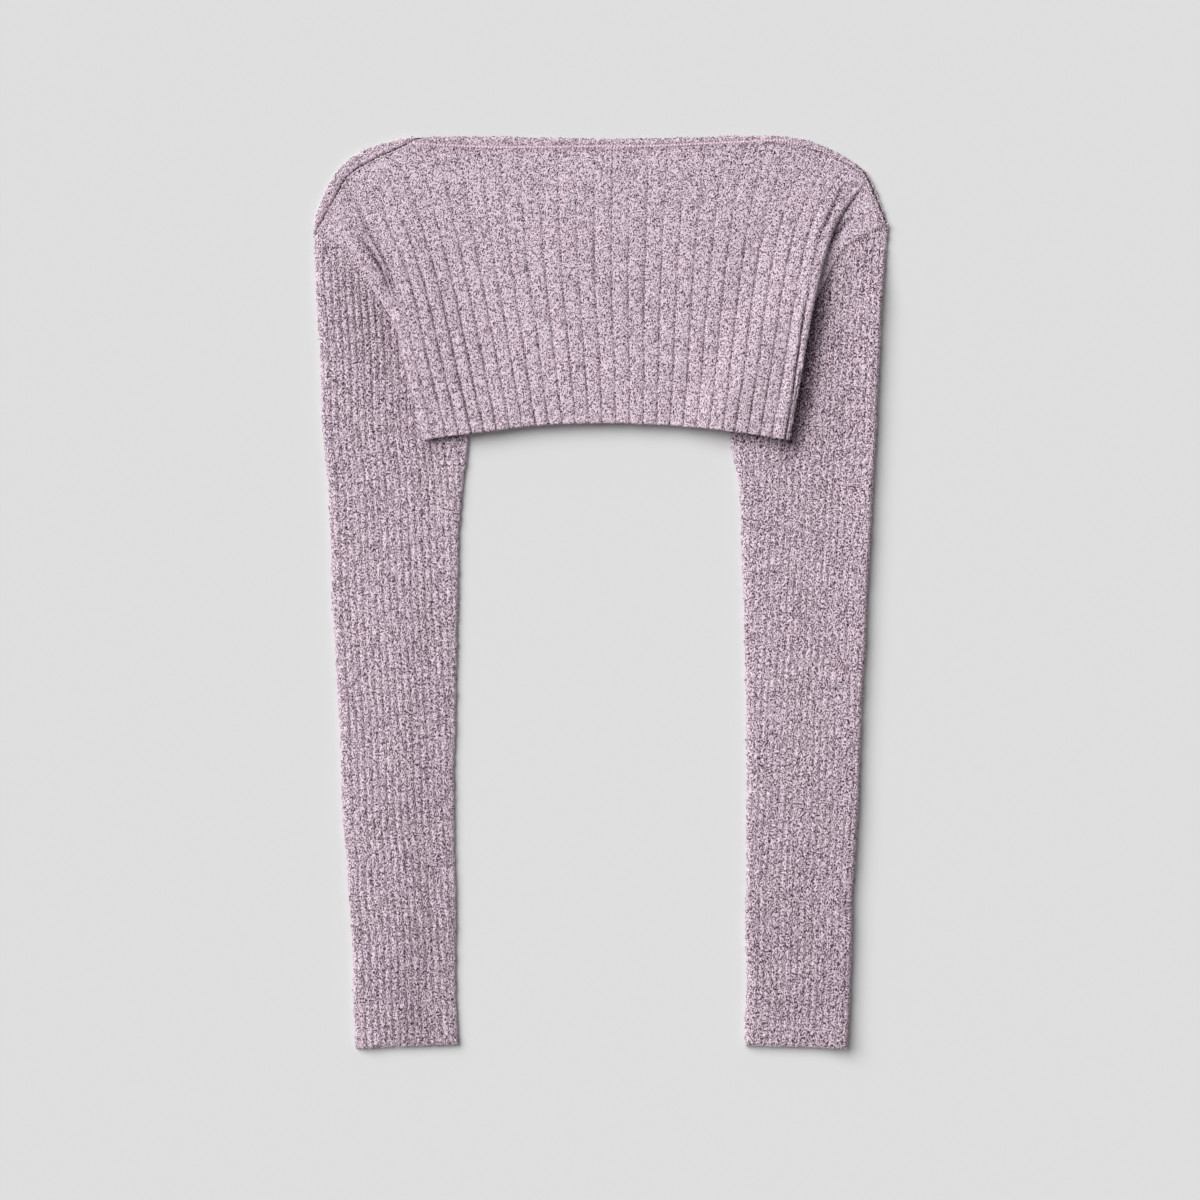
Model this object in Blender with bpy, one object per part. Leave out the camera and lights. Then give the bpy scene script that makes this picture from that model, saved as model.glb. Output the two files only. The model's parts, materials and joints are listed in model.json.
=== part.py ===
"""Knitted shrug, laid flat on its back: two ribbed body panels, two slim sleeves and a neckband.

Axes: X runs across the garment, Y up it from cuffs to neck, Z up from the surface it lies on.
The origin is on that surface, under the middle of the garment's bounding box.
Sizes in this file are millimetres; the meshes are made in metres.
"""

import math

import bmesh
import bpy

MM = 0.001

# ---------------------------------------------------------------- driving sizes
BODY_WALL = 2.0             # thickness of the knit between its ribs, body panels
BACK_WALL = 2.0
SLEEVE_WALL = 1.8
BAND_WALL = 2.2
BACK_BAND_WALL = 2.0
SEAM_GAP = 0.3              # pieces that are sewn together stay this far apart
SEAM_GAP_WIDE = 0.5         # where two curved edges run side by side

BODY_RIBS = 27              # valleys between the ribs, counted across the front
FIRST_VALLEY = -0.884       # across the front: -1 is the left fold, +1 the right one
VALLEY_STEP = 0.0715
BODY_RIB_HEIGHT = 1.1       # at the hem, fading towards the neck

SLEEVE_RIB_PITCH = 5.45
SLEEVE_RIBS = 26            # at the armhole seam's widest; the inner ones end at the inseam
SLEEVE_RIB_HEIGHT = 0.8
SLEEVE_RIB_FADE = 14.0      # the ribs rise over this length below the armhole seam
SLEEVE_SIDE_ROUND = 3.0     # the sleeve's side folds are rounded over this width
SLEEVE_PRESSED = 4.3        # thickness of the flattened sleeve at the armhole and cuff
SLEEVE_FULL = 5.0           # and in between
SLEEVE_SWELL = 60.0         # it swells over this length
CUFF_QUICKER = 2.0          # and so many times quicker from the cuff than from the armhole
RIB_AT_SEAM = 0.3           # share of the rib height at the armhole seam
SLEEVE_EDGE_STEP = 0.8      # first column in from a side fold
HOLLOW_SIDE = SLEEVE_WALL + 0.6     # the hollow ends so far inside the side folds
HOLLOW_FLAT = SLEEVE_WALL + 1.6     # and is flat from here on

FOLD_RADIUS_LEFT = 1.8      # the front's sides are folded under on these radii
FOLD_RADIUS_RIGHT = 2.6
EDGE_OUT = 0.8              # the wall's middle goes this far outside the fold line
FOLD_INSET = EDGE_OUT + BODY_WALL / 2       # from the garment's visible edge to the fold line
NARROWEST_CAP = 4.5         # above the sleeve the front runs out to the seam at least so far,
NARROWEST_EDGE = 1.0        # below that it hangs down, and from here on it is folded under
SHORTEST_FLAP = 3.0
HANG_END = 3.6              # height of the hanging edge's lower end
LIP_STEP = 0.3              # the ends of ribbed walls are closed just inside the ribs
CAP_HEIGHT = 3.4            # middle of the front's wall where it lies on the back panel
ROLL_START = 2.0            # beside its folds the front stays up over this width,
ROLL_WIDTH = 9.0            # settles over this one,
SAG_START = 6.0             # and from this far inside the sleeves' edges
SAG_WIDTH = 48.0            # it sinks to its middle over this width
HANG_DROP = 0.65            # share of the way down at which the hanging edge turns in
HANG_OUT = 1.2              # its lower end stands this far outside the fold
BACK_BAND_WIDTH = 11.0
BAND_ROUND = 0.5            # the neckband's edges are rounded over these widths, above
BAND_ROUND_UNDER = 0.24     # and below
BACK_CORNER = 0.08          # station of the armhole seam where the back panel's corner lies

# ---------------------------------------------------------------- sections and outlines
# The front panel, one row for each level: where its side folds and its middle lie, and how
# far the ribs spread in the middle.
BODY_SECTIONS = [
    # up, left fold, centre, spread, right fold
    (361.6, -260.8, 0.8, 201.6, 239.2),
    (329.6, -209.6, 0.0, 196.8, 212.8),
    (297.6, -193.2, 0.0, 192.8, 189.6),
    (265.6, -176.8, 0.0, 187.2, 178.4),
    (233.6, -166.0, 0.6, 177.6, 170.4),
    (201.6, -160.0, 1.6, 168.0, 164.4),
    (169.6, -152.8, 2.8, 160.0, 159.2),
    (120.8, -141.2, 4.8, 144.8, 150.4),
]
SECTION_UP, FOLD_LEFT, CENTRE, SPREAD, FOLD_RIGHT = range(5)

# The front panel's neck edge and the two hems, from left to right.
FRONT_NECK = [
    # across, up
    (-210.0, 321.5),
    (-206.4, 326.4),
    (-198.4, 335.2),
    (-185.6, 343.2),
    (-171.2, 350.4),
    (-160.8, 354.8),
    (-152.0, 358.4),
    (-140.0, 356.8),
    (-120.8, 354.4),
    (-80.8, 352.4),
    (-0.8, 352.8),
    (79.2, 354.4),
    (119.2, 356.8),
    (143.2, 359.8),
    (160.0, 356.0),
    (178.4, 350.8),
    (197.6, 341.6),
    (207.2, 334.4),
    (213.6, 325.6),
    (216.0, 320.0),
]
FRONT_HEM = [
    # across, up
    (-141.2, 120.8),
    (-120.8, 124.0),
    (-100.8, 126.8),
    (-80.8, 129.2),
    (-48.8, 132.8),
    (-0.8, 135.2),
    (47.2, 133.2),
    (79.2, 130.4),
    (111.2, 126.4),
    (131.2, 123.6),
    (150.4, 121.0),
]
BACK_HEM = [
    # across, up
    (-108.0, 133.0),
    (-50.0, 138.0),
    (0.0, 140.0),
    (50.0, 138.0),
    (107.0, 133.0),
]

# The armhole seams. Station 0 is the seam's end at the neck slit, station 1 the underarm.
ARMHOLES = [
    # station, left across, left up, right across, right up
    (-0.05, -231.0, 289.6, 231.5, 293.6),
    (0.00, -225.6, 288.0, 226.4, 292.8),
    (0.10, -216.0, 281.6, 215.2, 287.6),
    (0.20, -204.8, 273.6, 201.6, 281.0),
    (0.30, -195.2, 262.4, 188.0, 267.2),
    (0.42, -181.6, 241.6, 174.8, 241.6),
    (0.50, -171.0, 224.0, 167.4, 228.5),
    (0.56, -163.2, 211.2, 160.3, 217.5),
    (0.65, -154.4, 196.8, 149.4, 199.6),
    (0.80, -135.8, 168.6, 130.4, 169.8),
    (1.00, -108.8, 132.6, 107.2, 132.6),
]
STATION, ARM_LEFT, ARM_LEFT_UP, ARM_RIGHT, ARM_RIGHT_UP = range(5)

# Heights of the middle of the front's wall, from its neck edge (0) to its hem (1).
FRONT_HEIGHTS = [
    # down, left fold, beside it, middle, beside right fold, right fold
    (0.00, 4.3, 4.3, 4.0, 4.0, 4.1),
    (0.12, 5.8, 5.4, 4.0, 5.4, 6.6),
    (0.25, 7.4, 6.8, 4.1, 7.2, 9.4),
    (0.36, 8.6, 8.0, 4.3, 8.8, 11.4),
    (0.42, 9.3, 8.7, 4.5, 9.6, 12.0),
    (0.50, 10.0, 9.2, 4.7, 9.9, 12.3),
    (0.58, 10.4, 9.7, 5.0, 10.0, 12.5),
    (0.75, 10.8, 10.0, 5.8, 10.4, 12.8),
    (1.00, 11.2, 10.4, 7.0, 10.6, 13.0),
]
DOWN, TOP_LEFT, REST_LEFT, MIDDLE, REST_RIGHT, TOP_RIGHT = range(6)

# Heights of the flap that is folded under beside the sleeve: at its fold and its free end.
FLAP_HEIGHTS = [
    # down, fold, free end
    (0.35, 6.6, 6.4),
    (0.60, 7.0, 6.5),
    (1.00, 7.7, 7.0),
]

# The wall's turn at a side fold, point by point: how far out it stands, as shares of EDGE_OUT
# and of the fold's radius, and how far down it lies on its way to the part below.
TURN_TO_CAP = [
    # out, of radius, down
    (1.0, -0.3, 0.15),
    (1.0, 0.0, 0.50),
    (2.0, 0.0, 0.85),
    (3.5, 0.0, 1.00),
]
TURN_HANGING = [
    # out, of radius, down
    (1.0, -0.3, 0.12),
    (1.0, 0.0, 0.45),
    (1.25, 0.0, 0.75),
    (1.375, 0.0, 1.00),
]
TURN_UNDER = [
    # out, of radius, down
    (1.0, -0.3, 0.15),
    (1.0, 0.0, 0.50),
    (1.0, -0.3, 0.85),
    (1.0, -1.0, 1.00),
]

# How high the ribs stand from the neck edge (0) to the hem (1).
RIB_DEPTHS = [
    # down, share of the full rib height
    (0.00, 0.22),
    (0.20, 0.40),
    (0.45, 0.72),
    (0.75, 0.95),
    (1.00, 1.00),
]

# The sleeves' outer and inner sides, one row for each level.
SLEEVE_SECTIONS = [
    # up, left outer, left inner, right inner, right outer
    (292.0, -230.4, -96.0, 95.0, 230.4),
    (217.6, -227.2, -99.0, 97.0, 224.6),
    (121.6, -222.4, -105.6, 103.2, 219.8),
    (73.6, -218.4, -111.2, 110.4, 216.4),
    (-6.4, -215.2, -113.6, 113.6, 212.8),
    (-86.4, -210.8, -116.0, 116.0, 208.4),
    (-166.4, -207.4, -117.8, 116.8, 205.4),
    (-246.4, -202.4, -116.2, 115.6, 200.6),
    (-326.4, -198.8, -116.2, 115.6, 198.4),
    (-365.0, -196.2, -115.4, 114.8, 195.6),
]
LEVEL, LEFT_OUTER, LEFT_INNER, RIGHT_INNER, RIGHT_OUTER = range(5)
CUFFS = {
    # side: height of the cuff's edge at its outer and inner end
    "left": (-364.6, -361.4),
    "right": (-364.6, -363.4),
}

# The garment's upper outline, which the back neckband follows from left to right.
NECK_OUTLINE = [
    # across, up
    (-229.6, 291.5),
    (-228.4, 300.0),
    (-224.4, 311.0),
    (-218.4, 324.0),
    (-210.4, 338.0),
    (-199.2, 348.6),
    (-184.8, 355.6),
    (-167.2, 361.0),
    (-144.8, 363.6),
    (-96.8, 364.4),
    (-0.8, 363.4),
    (111.2, 364.6),
    (151.2, 363.6),
    (170.4, 359.4),
    (189.6, 351.2),
    (205.6, 343.0),
    (215.2, 334.6),
    (222.0, 322.0),
    (226.4, 308.0),
    (229.8, 295.0),
]

# How much of the front neckband shows above the linking seam.
BAND_WIDTHS = [
    # across, width
    (-226.0, 1.6),
    (-165.0, 1.8),
    (-152.0, 3.4),
    (-140.0, 6.6),
    (-120.0, 9.0),
    (-80.0, 11.2),
    (0.0, 9.8),
    (80.0, 9.2),
    (120.0, 7.2),
    (143.0, 4.0),
    (160.0, 5.4),
    (178.0, 4.6),
    (198.0, 4.0),
    (214.0, 4.0),
    (226.0, 2.6),
]

# Columns of the front's outer face outside its first and last valley.
LEFT_BORDER = [
    # across, share of the rib height
    (-0.985, 0.5),
    (-0.957, 0.2),
    (-0.934, 1.0),
    (-0.908, 1.0),
]
RIGHT_BORDER = [
    # across, share of the rib height
    (0.988, 0.9),
]
RIB_SHOULDERS = (0.32, 0.68)    # a rib's crest, as shares of the step between two valleys

# Rows of the meshes, as shares of the way from the neck edge to the hem or cuff.
FRONT_ROWS = [0.0, 0.03, 0.08, 0.14, 0.20, 0.26, 0.32, 0.38, 0.44, 0.50, 0.56, 0.62, 0.68,
              0.75, 0.82, 0.89, 0.95, 1.0]
SLEEVE_ROWS = 25
BACK_ROWS = 14
BACK_COLUMNS = 22
BAND_STEPS = 56
TAIL_RUN = 3                # steps along the flap, after the four round its fold
RIB_COLUMNS = 3             # columns of the outer face to a rib
INNER_STEP = 3              # the plain underside has one column for so many outer ones
INNER_STEP_MIDDLE = 9       # and in its flatter middle,
INNER_FINE = 27             # which starts so many outer columns from the fold
UNDER_SHARES = (0.0, 0.25, 0.5, 0.75, 1.0)      # columns of a sleeve's plain faces
SEAM_STEPS = 40
CURVE_STEPS = 12            # straight pieces between two table points of a plan curve
SAME_POINT = 0.02           # points closer than this are one
SEARCH_STEPS = 30           # rounds in which a crossing of two curves is found
NECK_LEVELS = (300.0, 361.5)    # the neck edge lies between these levels
HEM_LEVEL = 128.0           # and the hem near this one

COLOURS = {
    # linear base colours of the yarn
    "body": (0.50, 0.40, 0.47),
    "sleeve": (0.46, 0.36, 0.425),
    "band": (0.55, 0.40, 0.46),
}
YARN_ROUGHNESS = 0.95
SHARP_ANGLE = 20.0          # degrees; wider angles between faces are shaded as edges


# ---------------------------------------------------------------- curves
def between(a, b, share):
    return a + (b - a) * share


def smooth_step(value):
    value = min(max(value, 0.0), 1.0)
    return value * value * (3.0 - 2.0 * value)


def smooth_value(table, at, column, key=0):
    """Read one column of a table along its key column, on a smooth curve through its rows."""
    rows = table if table[0][key] < table[-1][key] else table[::-1]
    at = min(max(at, rows[0][key]), rows[-1][key])
    i = 0
    while i < len(rows) - 2 and rows[i + 1][key] < at:
        i += 1
    before = rows[max(i - 1, 0)]
    start, end = rows[i], rows[i + 1]
    after = rows[min(i + 2, len(rows) - 1)]
    width = end[key] - start[key]
    share = (at - start[key]) / width
    slope_start = (end[column] - before[column]) / (end[key] - before[key])
    slope_end = (after[column] - start[column]) / (after[key] - start[key])
    a = start[column]
    b = end[column]
    rise_a = slope_start * width
    rise_b = slope_end * width
    s2 = share * share
    s3 = s2 * share
    return (a * (2 * s3 - 3 * s2 + 1) + rise_a * (s3 - 2 * s2 + share)
            + b * (3 * s2 - 2 * s3) + rise_b * (s3 - s2))


def along_curve(points, count):
    """Points at even steps along a smooth curve through the given plan points."""
    keyed = [(float(i), x, y) for i, (x, y) in enumerate(points)]
    fine = []
    steps = CURVE_STEPS * (len(points) - 1)
    for i in range(steps + 1):
        at = (len(points) - 1) * i / steps
        fine.append((smooth_value(keyed, at, 1), smooth_value(keyed, at, 2)))
    lengths = [0.0]
    for a, b in zip(fine, fine[1:]):
        lengths.append(lengths[-1] + math.dist(a, b))
    table = [(length, x, y) for length, (x, y) in zip(lengths, fine)]
    result = []
    for i in range(count + 1):
        at = lengths[-1] * i / count
        result.append((straight_value(table, at, 1), straight_value(table, at, 2)))
    return result


def straight_value(table, at, column):
    """Read a table between its rows on straight lines; it runs on past its ends."""
    i = 0
    while i < len(table) - 2 and table[i + 1][0] < at:
        i += 1
    start, end = table[i], table[i + 1]
    share = (at - start[0]) / (end[0] - start[0])
    return between(start[column], end[column], share)


def moved_sideways(points, distance):
    """A plan curve moved to its left by a distance."""
    result = []
    for i, (x, y) in enumerate(points):
        ahead = points[min(i + 1, len(points) - 1)]
        behind = points[max(i - 1, 0)]
        dx, dy = ahead[0] - behind[0], ahead[1] - behind[1]
        size = math.hypot(dx, dy)
        result.append((x - dy / size * distance, y + dx / size * distance))
    return result


# ---------------------------------------------------------------- closed walls
class Wall:
    """Gathers the points and faces of one closed wall, in millimetres."""

    def __init__(self):
        self.points = []
        self.faces = []

    def row(self, points):
        """Add a row of points; neighbours that fall together share one point."""
        indices = []
        last = None
        for point in points:
            if last is None or math.dist(point, last) > SAME_POINT:
                self.points.append(point)
                last = point
            indices.append(len(self.points) - 1)
        return indices

    def face(self, *corners):
        kept = []
        for corner in corners:
            if corner not in kept:
                kept.append(corner)
        if len(kept) > 2:
            self.faces.append(kept)

    def strip(self, row_a, row_b):
        """Join two rows that have the same number of points."""
        for a0, a1, b1, b0 in zip(row_a, row_a[1:], row_b[1:], row_b):
            self.face(a0, a1, b1, b0)

    def grid(self, rows):
        for row_a, row_b in zip(rows, rows[1:]):
            self.strip(row_a, row_b)

    def zip_rows(self, row_a, keys_a, row_b, keys_b):
        """Join two rows with different numbers of points by triangles, in key order."""
        a = b = 0
        while a < len(row_a) - 1 or b < len(row_b) - 1:
            step_a = b == len(row_b) - 1
            if not step_a and a < len(row_a) - 1:
                step_a = keys_a[a + 1] <= keys_b[b + 1]
            if step_a:
                self.face(row_a[a], row_a[a + 1], row_b[b])
                a += 1
            else:
                self.face(row_a[a], row_b[b + 1], row_b[b])
                b += 1

    def build(self, name, material):
        mesh = bpy.data.meshes.new(name)
        shape = bmesh.new()
        corners = [shape.verts.new([value * MM for value in point]) for point in self.points]
        for face in self.faces:
            shape.faces.new([corners[i] for i in face])
        bmesh.ops.triangulate(shape, faces=shape.faces[:])
        loose = [v for v in shape.verts if not v.link_faces]
        bmesh.ops.delete(shape, geom=loose, context="VERTS")
        bmesh.ops.recalc_face_normals(shape, faces=shape.faces[:])
        if shape.calc_volume(signed=True) < 0.0:
            bmesh.ops.reverse_faces(shape, faces=shape.faces[:])
        shape.to_mesh(mesh)
        shape.free()
        mesh.shade_smooth()
        mesh.set_sharp_from_angle(angle=math.radians(SHARP_ANGLE))
        mesh.materials.append(material)
        piece = bpy.data.objects.new(name, mesh)
        bpy.context.scene.collection.objects.link(piece)
        return piece


def yarn_material(name, colour):
    material = bpy.data.materials.new(name)
    material.use_nodes = True
    shader = material.node_tree.nodes["Principled BSDF"]
    shader.inputs["Base Color"].default_value = (*colour, 1.0)
    shader.inputs["Roughness"].default_value = YARN_ROUGHNESS
    shader.inputs["Metallic"].default_value = 0.0
    material.diffuse_color = (*colour, 1.0)
    return material


# ---------------------------------------------------------------- front panel
def front_across(v, up):
    """Where the rib line v lies at a level; the lines fan out towards the neck."""
    centre = smooth_value(BODY_SECTIONS, up, CENTRE)
    spread = smooth_value(BODY_SECTIONS, up, SPREAD)
    if v < 0.0:
        fold = smooth_value(BODY_SECTIONS, up, FOLD_LEFT) + FOLD_INSET
        return centre + spread * v + (centre - spread - fold) * v ** 3
    fold = smooth_value(BODY_SECTIONS, up, FOLD_RIGHT) - FOLD_INSET
    return centre + spread * v + (fold - centre - spread) * v ** 3


def front_neck_up(v):
    """The level at which the rib line v meets the neck edge."""
    low, high = NECK_LEVELS
    for _ in range(SEARCH_STEPS):
        level = (low + high) / 2
        if level > smooth_value(FRONT_NECK, front_across(v, level), 1):
            high = level
        else:
            low = level
    return level


def front_hem_up(v):
    level = HEM_LEVEL
    for _ in range(SEARCH_STEPS):
        level = smooth_value(FRONT_HEM, front_across(v, level), 1)
    return level


def front_plan(v, down):
    up = between(front_neck_up(v), front_hem_up(v), down)
    return front_across(v, up), up


def armhole_point(side, down):
    """A point of the armhole seam in plan."""
    columns = (ARM_LEFT, ARM_LEFT_UP) if side == "left" else (ARM_RIGHT, ARM_RIGHT_UP)
    return tuple(smooth_value(ARMHOLES, down, column) for column in columns)


def front_height(v, down):
    """Height of the middle of the wall: held up beside the folds, sinking to the middle."""
    side = "left" if v < 0 else "right"
    sign = -1.0 if side == "left" else 1.0
    fold = front_plan(sign, down)
    here = front_plan(v, down)
    seam = armhole_point(side, down)
    inward = sign * (fold[0] - here[0])
    under = max(sign * (fold[0] - seam[0]), 0.0)
    top = smooth_value(FRONT_HEIGHTS, down, TOP_LEFT if side == "left" else TOP_RIGHT)
    rest = smooth_value(FRONT_HEIGHTS, down, REST_LEFT if side == "left" else REST_RIGHT)
    middle = smooth_value(FRONT_HEIGHTS, down, MIDDLE)
    roll = between(top, rest, smooth_step((inward - ROLL_START) / ROLL_WIDTH))
    return between(roll, middle, smooth_step((inward - under - SAG_START) / SAG_WIDTH))


def front_tail(side, down):
    """The wall's middle line from the fold on: round it and under to the armhole seam, or,
    above the sleeve, down the crease and out over the shoulder corner."""
    sign = -1.0 if side == "left" else 1.0
    radius = FOLD_RADIUS_LEFT if side == "left" else FOLD_RADIUS_RIGHT
    fold = front_plan(sign, down)
    seam = armhole_point(side, down)
    top = front_height(sign, down)
    outward = sign * (seam[0] - fold[0])
    heading = (sign, 0.0)
    if outward > NARROWEST_CAP:
        reach = math.dist(seam, fold)
        heading = ((seam[0] - fold[0]) / reach, (seam[1] - fold[1]) / reach)
        turn = TURN_TO_CAP
        low = end = CAP_HEIGHT
    elif outward > NARROWEST_EDGE:
        turn = TURN_HANGING
        low = between(top, HANG_END, HANG_DROP)
        end = HANG_END
        seam = (fold[0] + sign * HANG_OUT, fold[1])
    else:
        turn = TURN_UNDER
        low = smooth_value(FLAP_HEIGHTS, down, 1)
        end = smooth_value(FLAP_HEIGHTS, down, 2)
        furthest = fold[0] - sign * (radius + SHORTEST_FLAP)
        seam = (sign * min(sign * seam[0], sign * furthest), seam[1])
    points = []
    for out, of_radius, drop in turn:
        step = out * EDGE_OUT + of_radius * radius
        points.append((fold[0] + heading[0] * step, fold[1] + heading[1] * step,
                       between(top, low, drop)))
    start = points[-1]
    for i in range(1, TAIL_RUN + 1):
        share = i / TAIL_RUN
        points.append((between(start[0], seam[0], share), between(start[1], seam[1], share),
                       between(low, end, share)))
    return points


def front_columns():
    """Rib lines of the outer face, and the height of the rib there, from left to right."""
    columns = list(LEFT_BORDER)
    for i in range(BODY_RIBS):
        valley = FIRST_VALLEY + VALLEY_STEP * i
        columns.append((valley, 0.0))
        if i < BODY_RIBS - 1:
            columns += [(valley + VALLEY_STEP * share, 1.0) for share in RIB_SHOULDERS]
    return columns + RIGHT_BORDER


def row_normals(rows, i):
    """Directions across the wall at each point of row i of a grid of points."""
    result = []
    last = len(rows) - 1
    row = rows[i]
    for j in range(len(row)):
        a, b = row[max(j - 1, 0)], row[min(j + 1, len(row) - 1)]
        c, d = rows[max(i - 1, 0)][j], rows[min(i + 1, last)][j]
        u = [b[k] - a[k] for k in range(3)]
        w = [c[k] - d[k] for k in range(3)]
        n = (u[1] * w[2] - u[2] * w[1], u[2] * w[0] - u[0] * w[2], u[0] * w[1] - u[1] * w[0])
        size = math.hypot(*n)
        result.append(tuple(value / size for value in n))
    return result


def offset(point, normal, distance):
    return tuple(point[k] + normal[k] * distance for k in range(3))


def has_inner_column(j, last, tail_count):
    """Which columns of the outer face the plain inner face has too."""
    if j <= tail_count + 1 or j >= last - tail_count:
        return True
    from_side = min(j - tail_count, last - tail_count - j)
    step = INNER_STEP if from_side < INNER_FINE else INNER_STEP_MIDDLE
    return (j - tail_count) % step == 0


def make_front(material):
    columns = front_columns()
    tail_count = len(front_tail("left", 0.5))
    ribs = [0.0] * tail_count + [rib for _, rib in columns] + [0.0] * tail_count
    rows = []
    for down in FRONT_ROWS:
        row = front_tail("left", down)[::-1]
        for v, _ in columns:
            across, up = front_plan(v, down)
            row.append((across, up, front_height(v, down)))
        row += front_tail("right", down)
        rows.append(row)
    last = len(ribs) - 1
    inner_columns = [j for j in range(last + 1) if has_inner_column(j, last, tail_count)]
    wall = Wall()
    outer, inner, lips = [], [], []
    for i, down in enumerate(FRONT_ROWS):
        normals = row_normals(rows, i)
        height = BODY_RIB_HEIGHT * smooth_value(RIB_DEPTHS, down, 1)
        outer.append(wall.row([offset(point, normal, BODY_WALL / 2 + rib * height)
                               for point, normal, rib in zip(rows[i], normals, ribs)]))
        inner.append(wall.row([offset(rows[i][j], normals[j], -BODY_WALL / 2)
                               for j in inner_columns]))
        if i in (0, len(FRONT_ROWS) - 1):
            lip = wall.row([offset(point, normal, BODY_WALL / 2 - LIP_STEP)
                            for point, normal in zip(rows[i], normals)])
            lips.append([outer[-1][0]] + lip[1:-1] + [outer[-1][-1]])
    wall.grid(outer)
    wall.grid([row[::-1] for row in inner])
    for edge, lip in zip((0, -1), lips):
        wall.strip(outer[edge], lip)
        wall.zip_rows(lip, range(last + 1), inner[edge], inner_columns)
    for end in (0, -1):
        wall.strip([row[end] for row in outer], [row[end] for row in inner])
    return wall.build("front_panel", material)


# ---------------------------------------------------------------- back panel
def seam_curve(side, first, last):
    """The armhole seam in plan, from one station to another."""
    shares = [i / SEAM_STEPS for i in range(SEAM_STEPS + 1)]
    return [armhole_point(side, between(first, last, share)) for share in shares]


def resampled(points, count):
    lengths = [0.0]
    for a, b in zip(points, points[1:]):
        lengths.append(lengths[-1] + math.dist(a, b))
    table = [(length, x, y) for length, (x, y) in zip(lengths, points)]
    return [(straight_value(table, lengths[-1] * i / count, 1),
             straight_value(table, lengths[-1] * i / count, 2)) for i in range(count + 1)]


def patch_point(top, bottom, left, right, i, j):
    """A point inside four plan edges that share their corners."""
    s = j / (len(top) - 1)
    t = i / (len(left) - 1)
    result = []
    for k in range(2):
        across = between(left[i][k], right[i][k], s)
        along = between(top[j][k], bottom[j][k], t)
        corners = between(between(top[0][k], top[-1][k], s), between(bottom[0][k], bottom[-1][k], s), t)
        result.append(across + along - corners)
    return result


def back_band_lines():
    """The back neckband's upper and lower edges; its ends follow the armhole seams."""
    outer = along_curve(NECK_OUTLINE, BAND_STEPS)
    inner = moved_sideways(outer, -BACK_BAND_WIDTH)
    inner[0] = armhole_point("left", BACK_CORNER)
    inner[-1] = armhole_point("right", BACK_CORNER)
    return outer, inner


def make_back(material):
    left = moved_sideways(seam_curve("left", BACK_CORNER, 1.0), SEAM_GAP_WIDE)
    right = moved_sideways(seam_curve("right", BACK_CORNER, 1.0), -SEAM_GAP_WIDE)
    neck = moved_sideways(back_band_lines()[1], -SEAM_GAP_WIDE)
    left[0] = (neck[0][0], left[0][1])
    right[0] = (neck[-1][0], right[0][1])
    top = resampled([left[0]] + neck[1:-1] + [right[0]], BACK_COLUMNS)
    hem = [left[-1]] + along_curve(BACK_HEM, BACK_COLUMNS)[1:-1] + [right[-1]]
    bottom = resampled(hem, BACK_COLUMNS)
    left = resampled(left, BACK_ROWS)
    right = resampled(right, BACK_ROWS)
    wall = Wall()
    upper, lower = [], []
    for i in range(BACK_ROWS + 1):
        plan = [patch_point(top, bottom, left, right, i, j) for j in range(BACK_COLUMNS + 1)]
        upper.append(wall.row([(x, y, BACK_WALL) for x, y in plan]))
        lower.append(wall.row([(x, y, 0.0) for x, y in plan]))
    wall.grid(upper)
    wall.grid([row[::-1] for row in lower])
    for end in (0, -1):
        wall.strip(upper[end], lower[end])
        wall.strip([row[end] for row in upper], [row[end] for row in lower])
    return wall.build("back_panel", material)


# ---------------------------------------------------------------- sleeves
def sleeve_side(side, which, up):
    columns = {("left", "outer"): LEFT_OUTER, ("left", "inner"): LEFT_INNER,
               ("right", "inner"): RIGHT_INNER, ("right", "outer"): RIGHT_OUTER}
    return smooth_value(SLEEVE_SECTIONS, up, columns[(side, which)])


def armhole_table(side):
    """The sleeve's upper end as levels by distance across, clear of the seam."""
    sign = -1.0 if side == "left" else 1.0
    curve = seam_curve(side, ARMHOLES[0][0], 1.0)
    curve = moved_sideways(curve, sign * SEAM_GAP_WIDE)
    return sorted(curve)


class SleeveForm:
    """The flattened sleeve's plan: points at a distance in from its outer side."""

    def __init__(self, side):
        self.side = side
        self.sign = -1.0 if side == "left" else 1.0
        self.top = armhole_table(side)

    def place(self, distance, from_side, row, inset):
        """Plan point of a column at a mesh row; columns past the inner side stay on it."""
        up = 0.0
        for _ in range(SEARCH_STEPS):
            outer = sleeve_side(self.side, "outer", up)
            inner = sleeve_side(self.side, "inner", up)
            width = abs(outer - inner)
            if from_side == "outer":
                reach = min(distance, width - inset)
            elif from_side == "inner":
                reach = width - distance
            else:
                reach = between(inset, width - inset, distance)
            across = outer - self.sign * reach
            top = straight_value(self.top, across, 1)
            share = reach / width
            bottom = between(*CUFFS[self.side], share)
            up = between(top, bottom, row)
        clamped = from_side == "outer" and distance > width - inset
        return across, up, min(reach, width - reach), top, clamped


def sleeve_thickness(up, top, cuff):
    """Thickness of the flattened tube without its ribs: pressed at both ends."""
    from_end = min(top - up, (up - cuff) * CUFF_QUICKER)
    return between(SLEEVE_PRESSED, SLEEVE_FULL, smooth_step(from_end / SLEEVE_SWELL))


def side_round(inset):
    """Share of the full thickness at a distance in from a rounded side."""
    left = 1.0 - min(inset / SLEEVE_SIDE_ROUND, 1.0)
    return math.sqrt(max(1.0 - left * left, 0.0))


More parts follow.
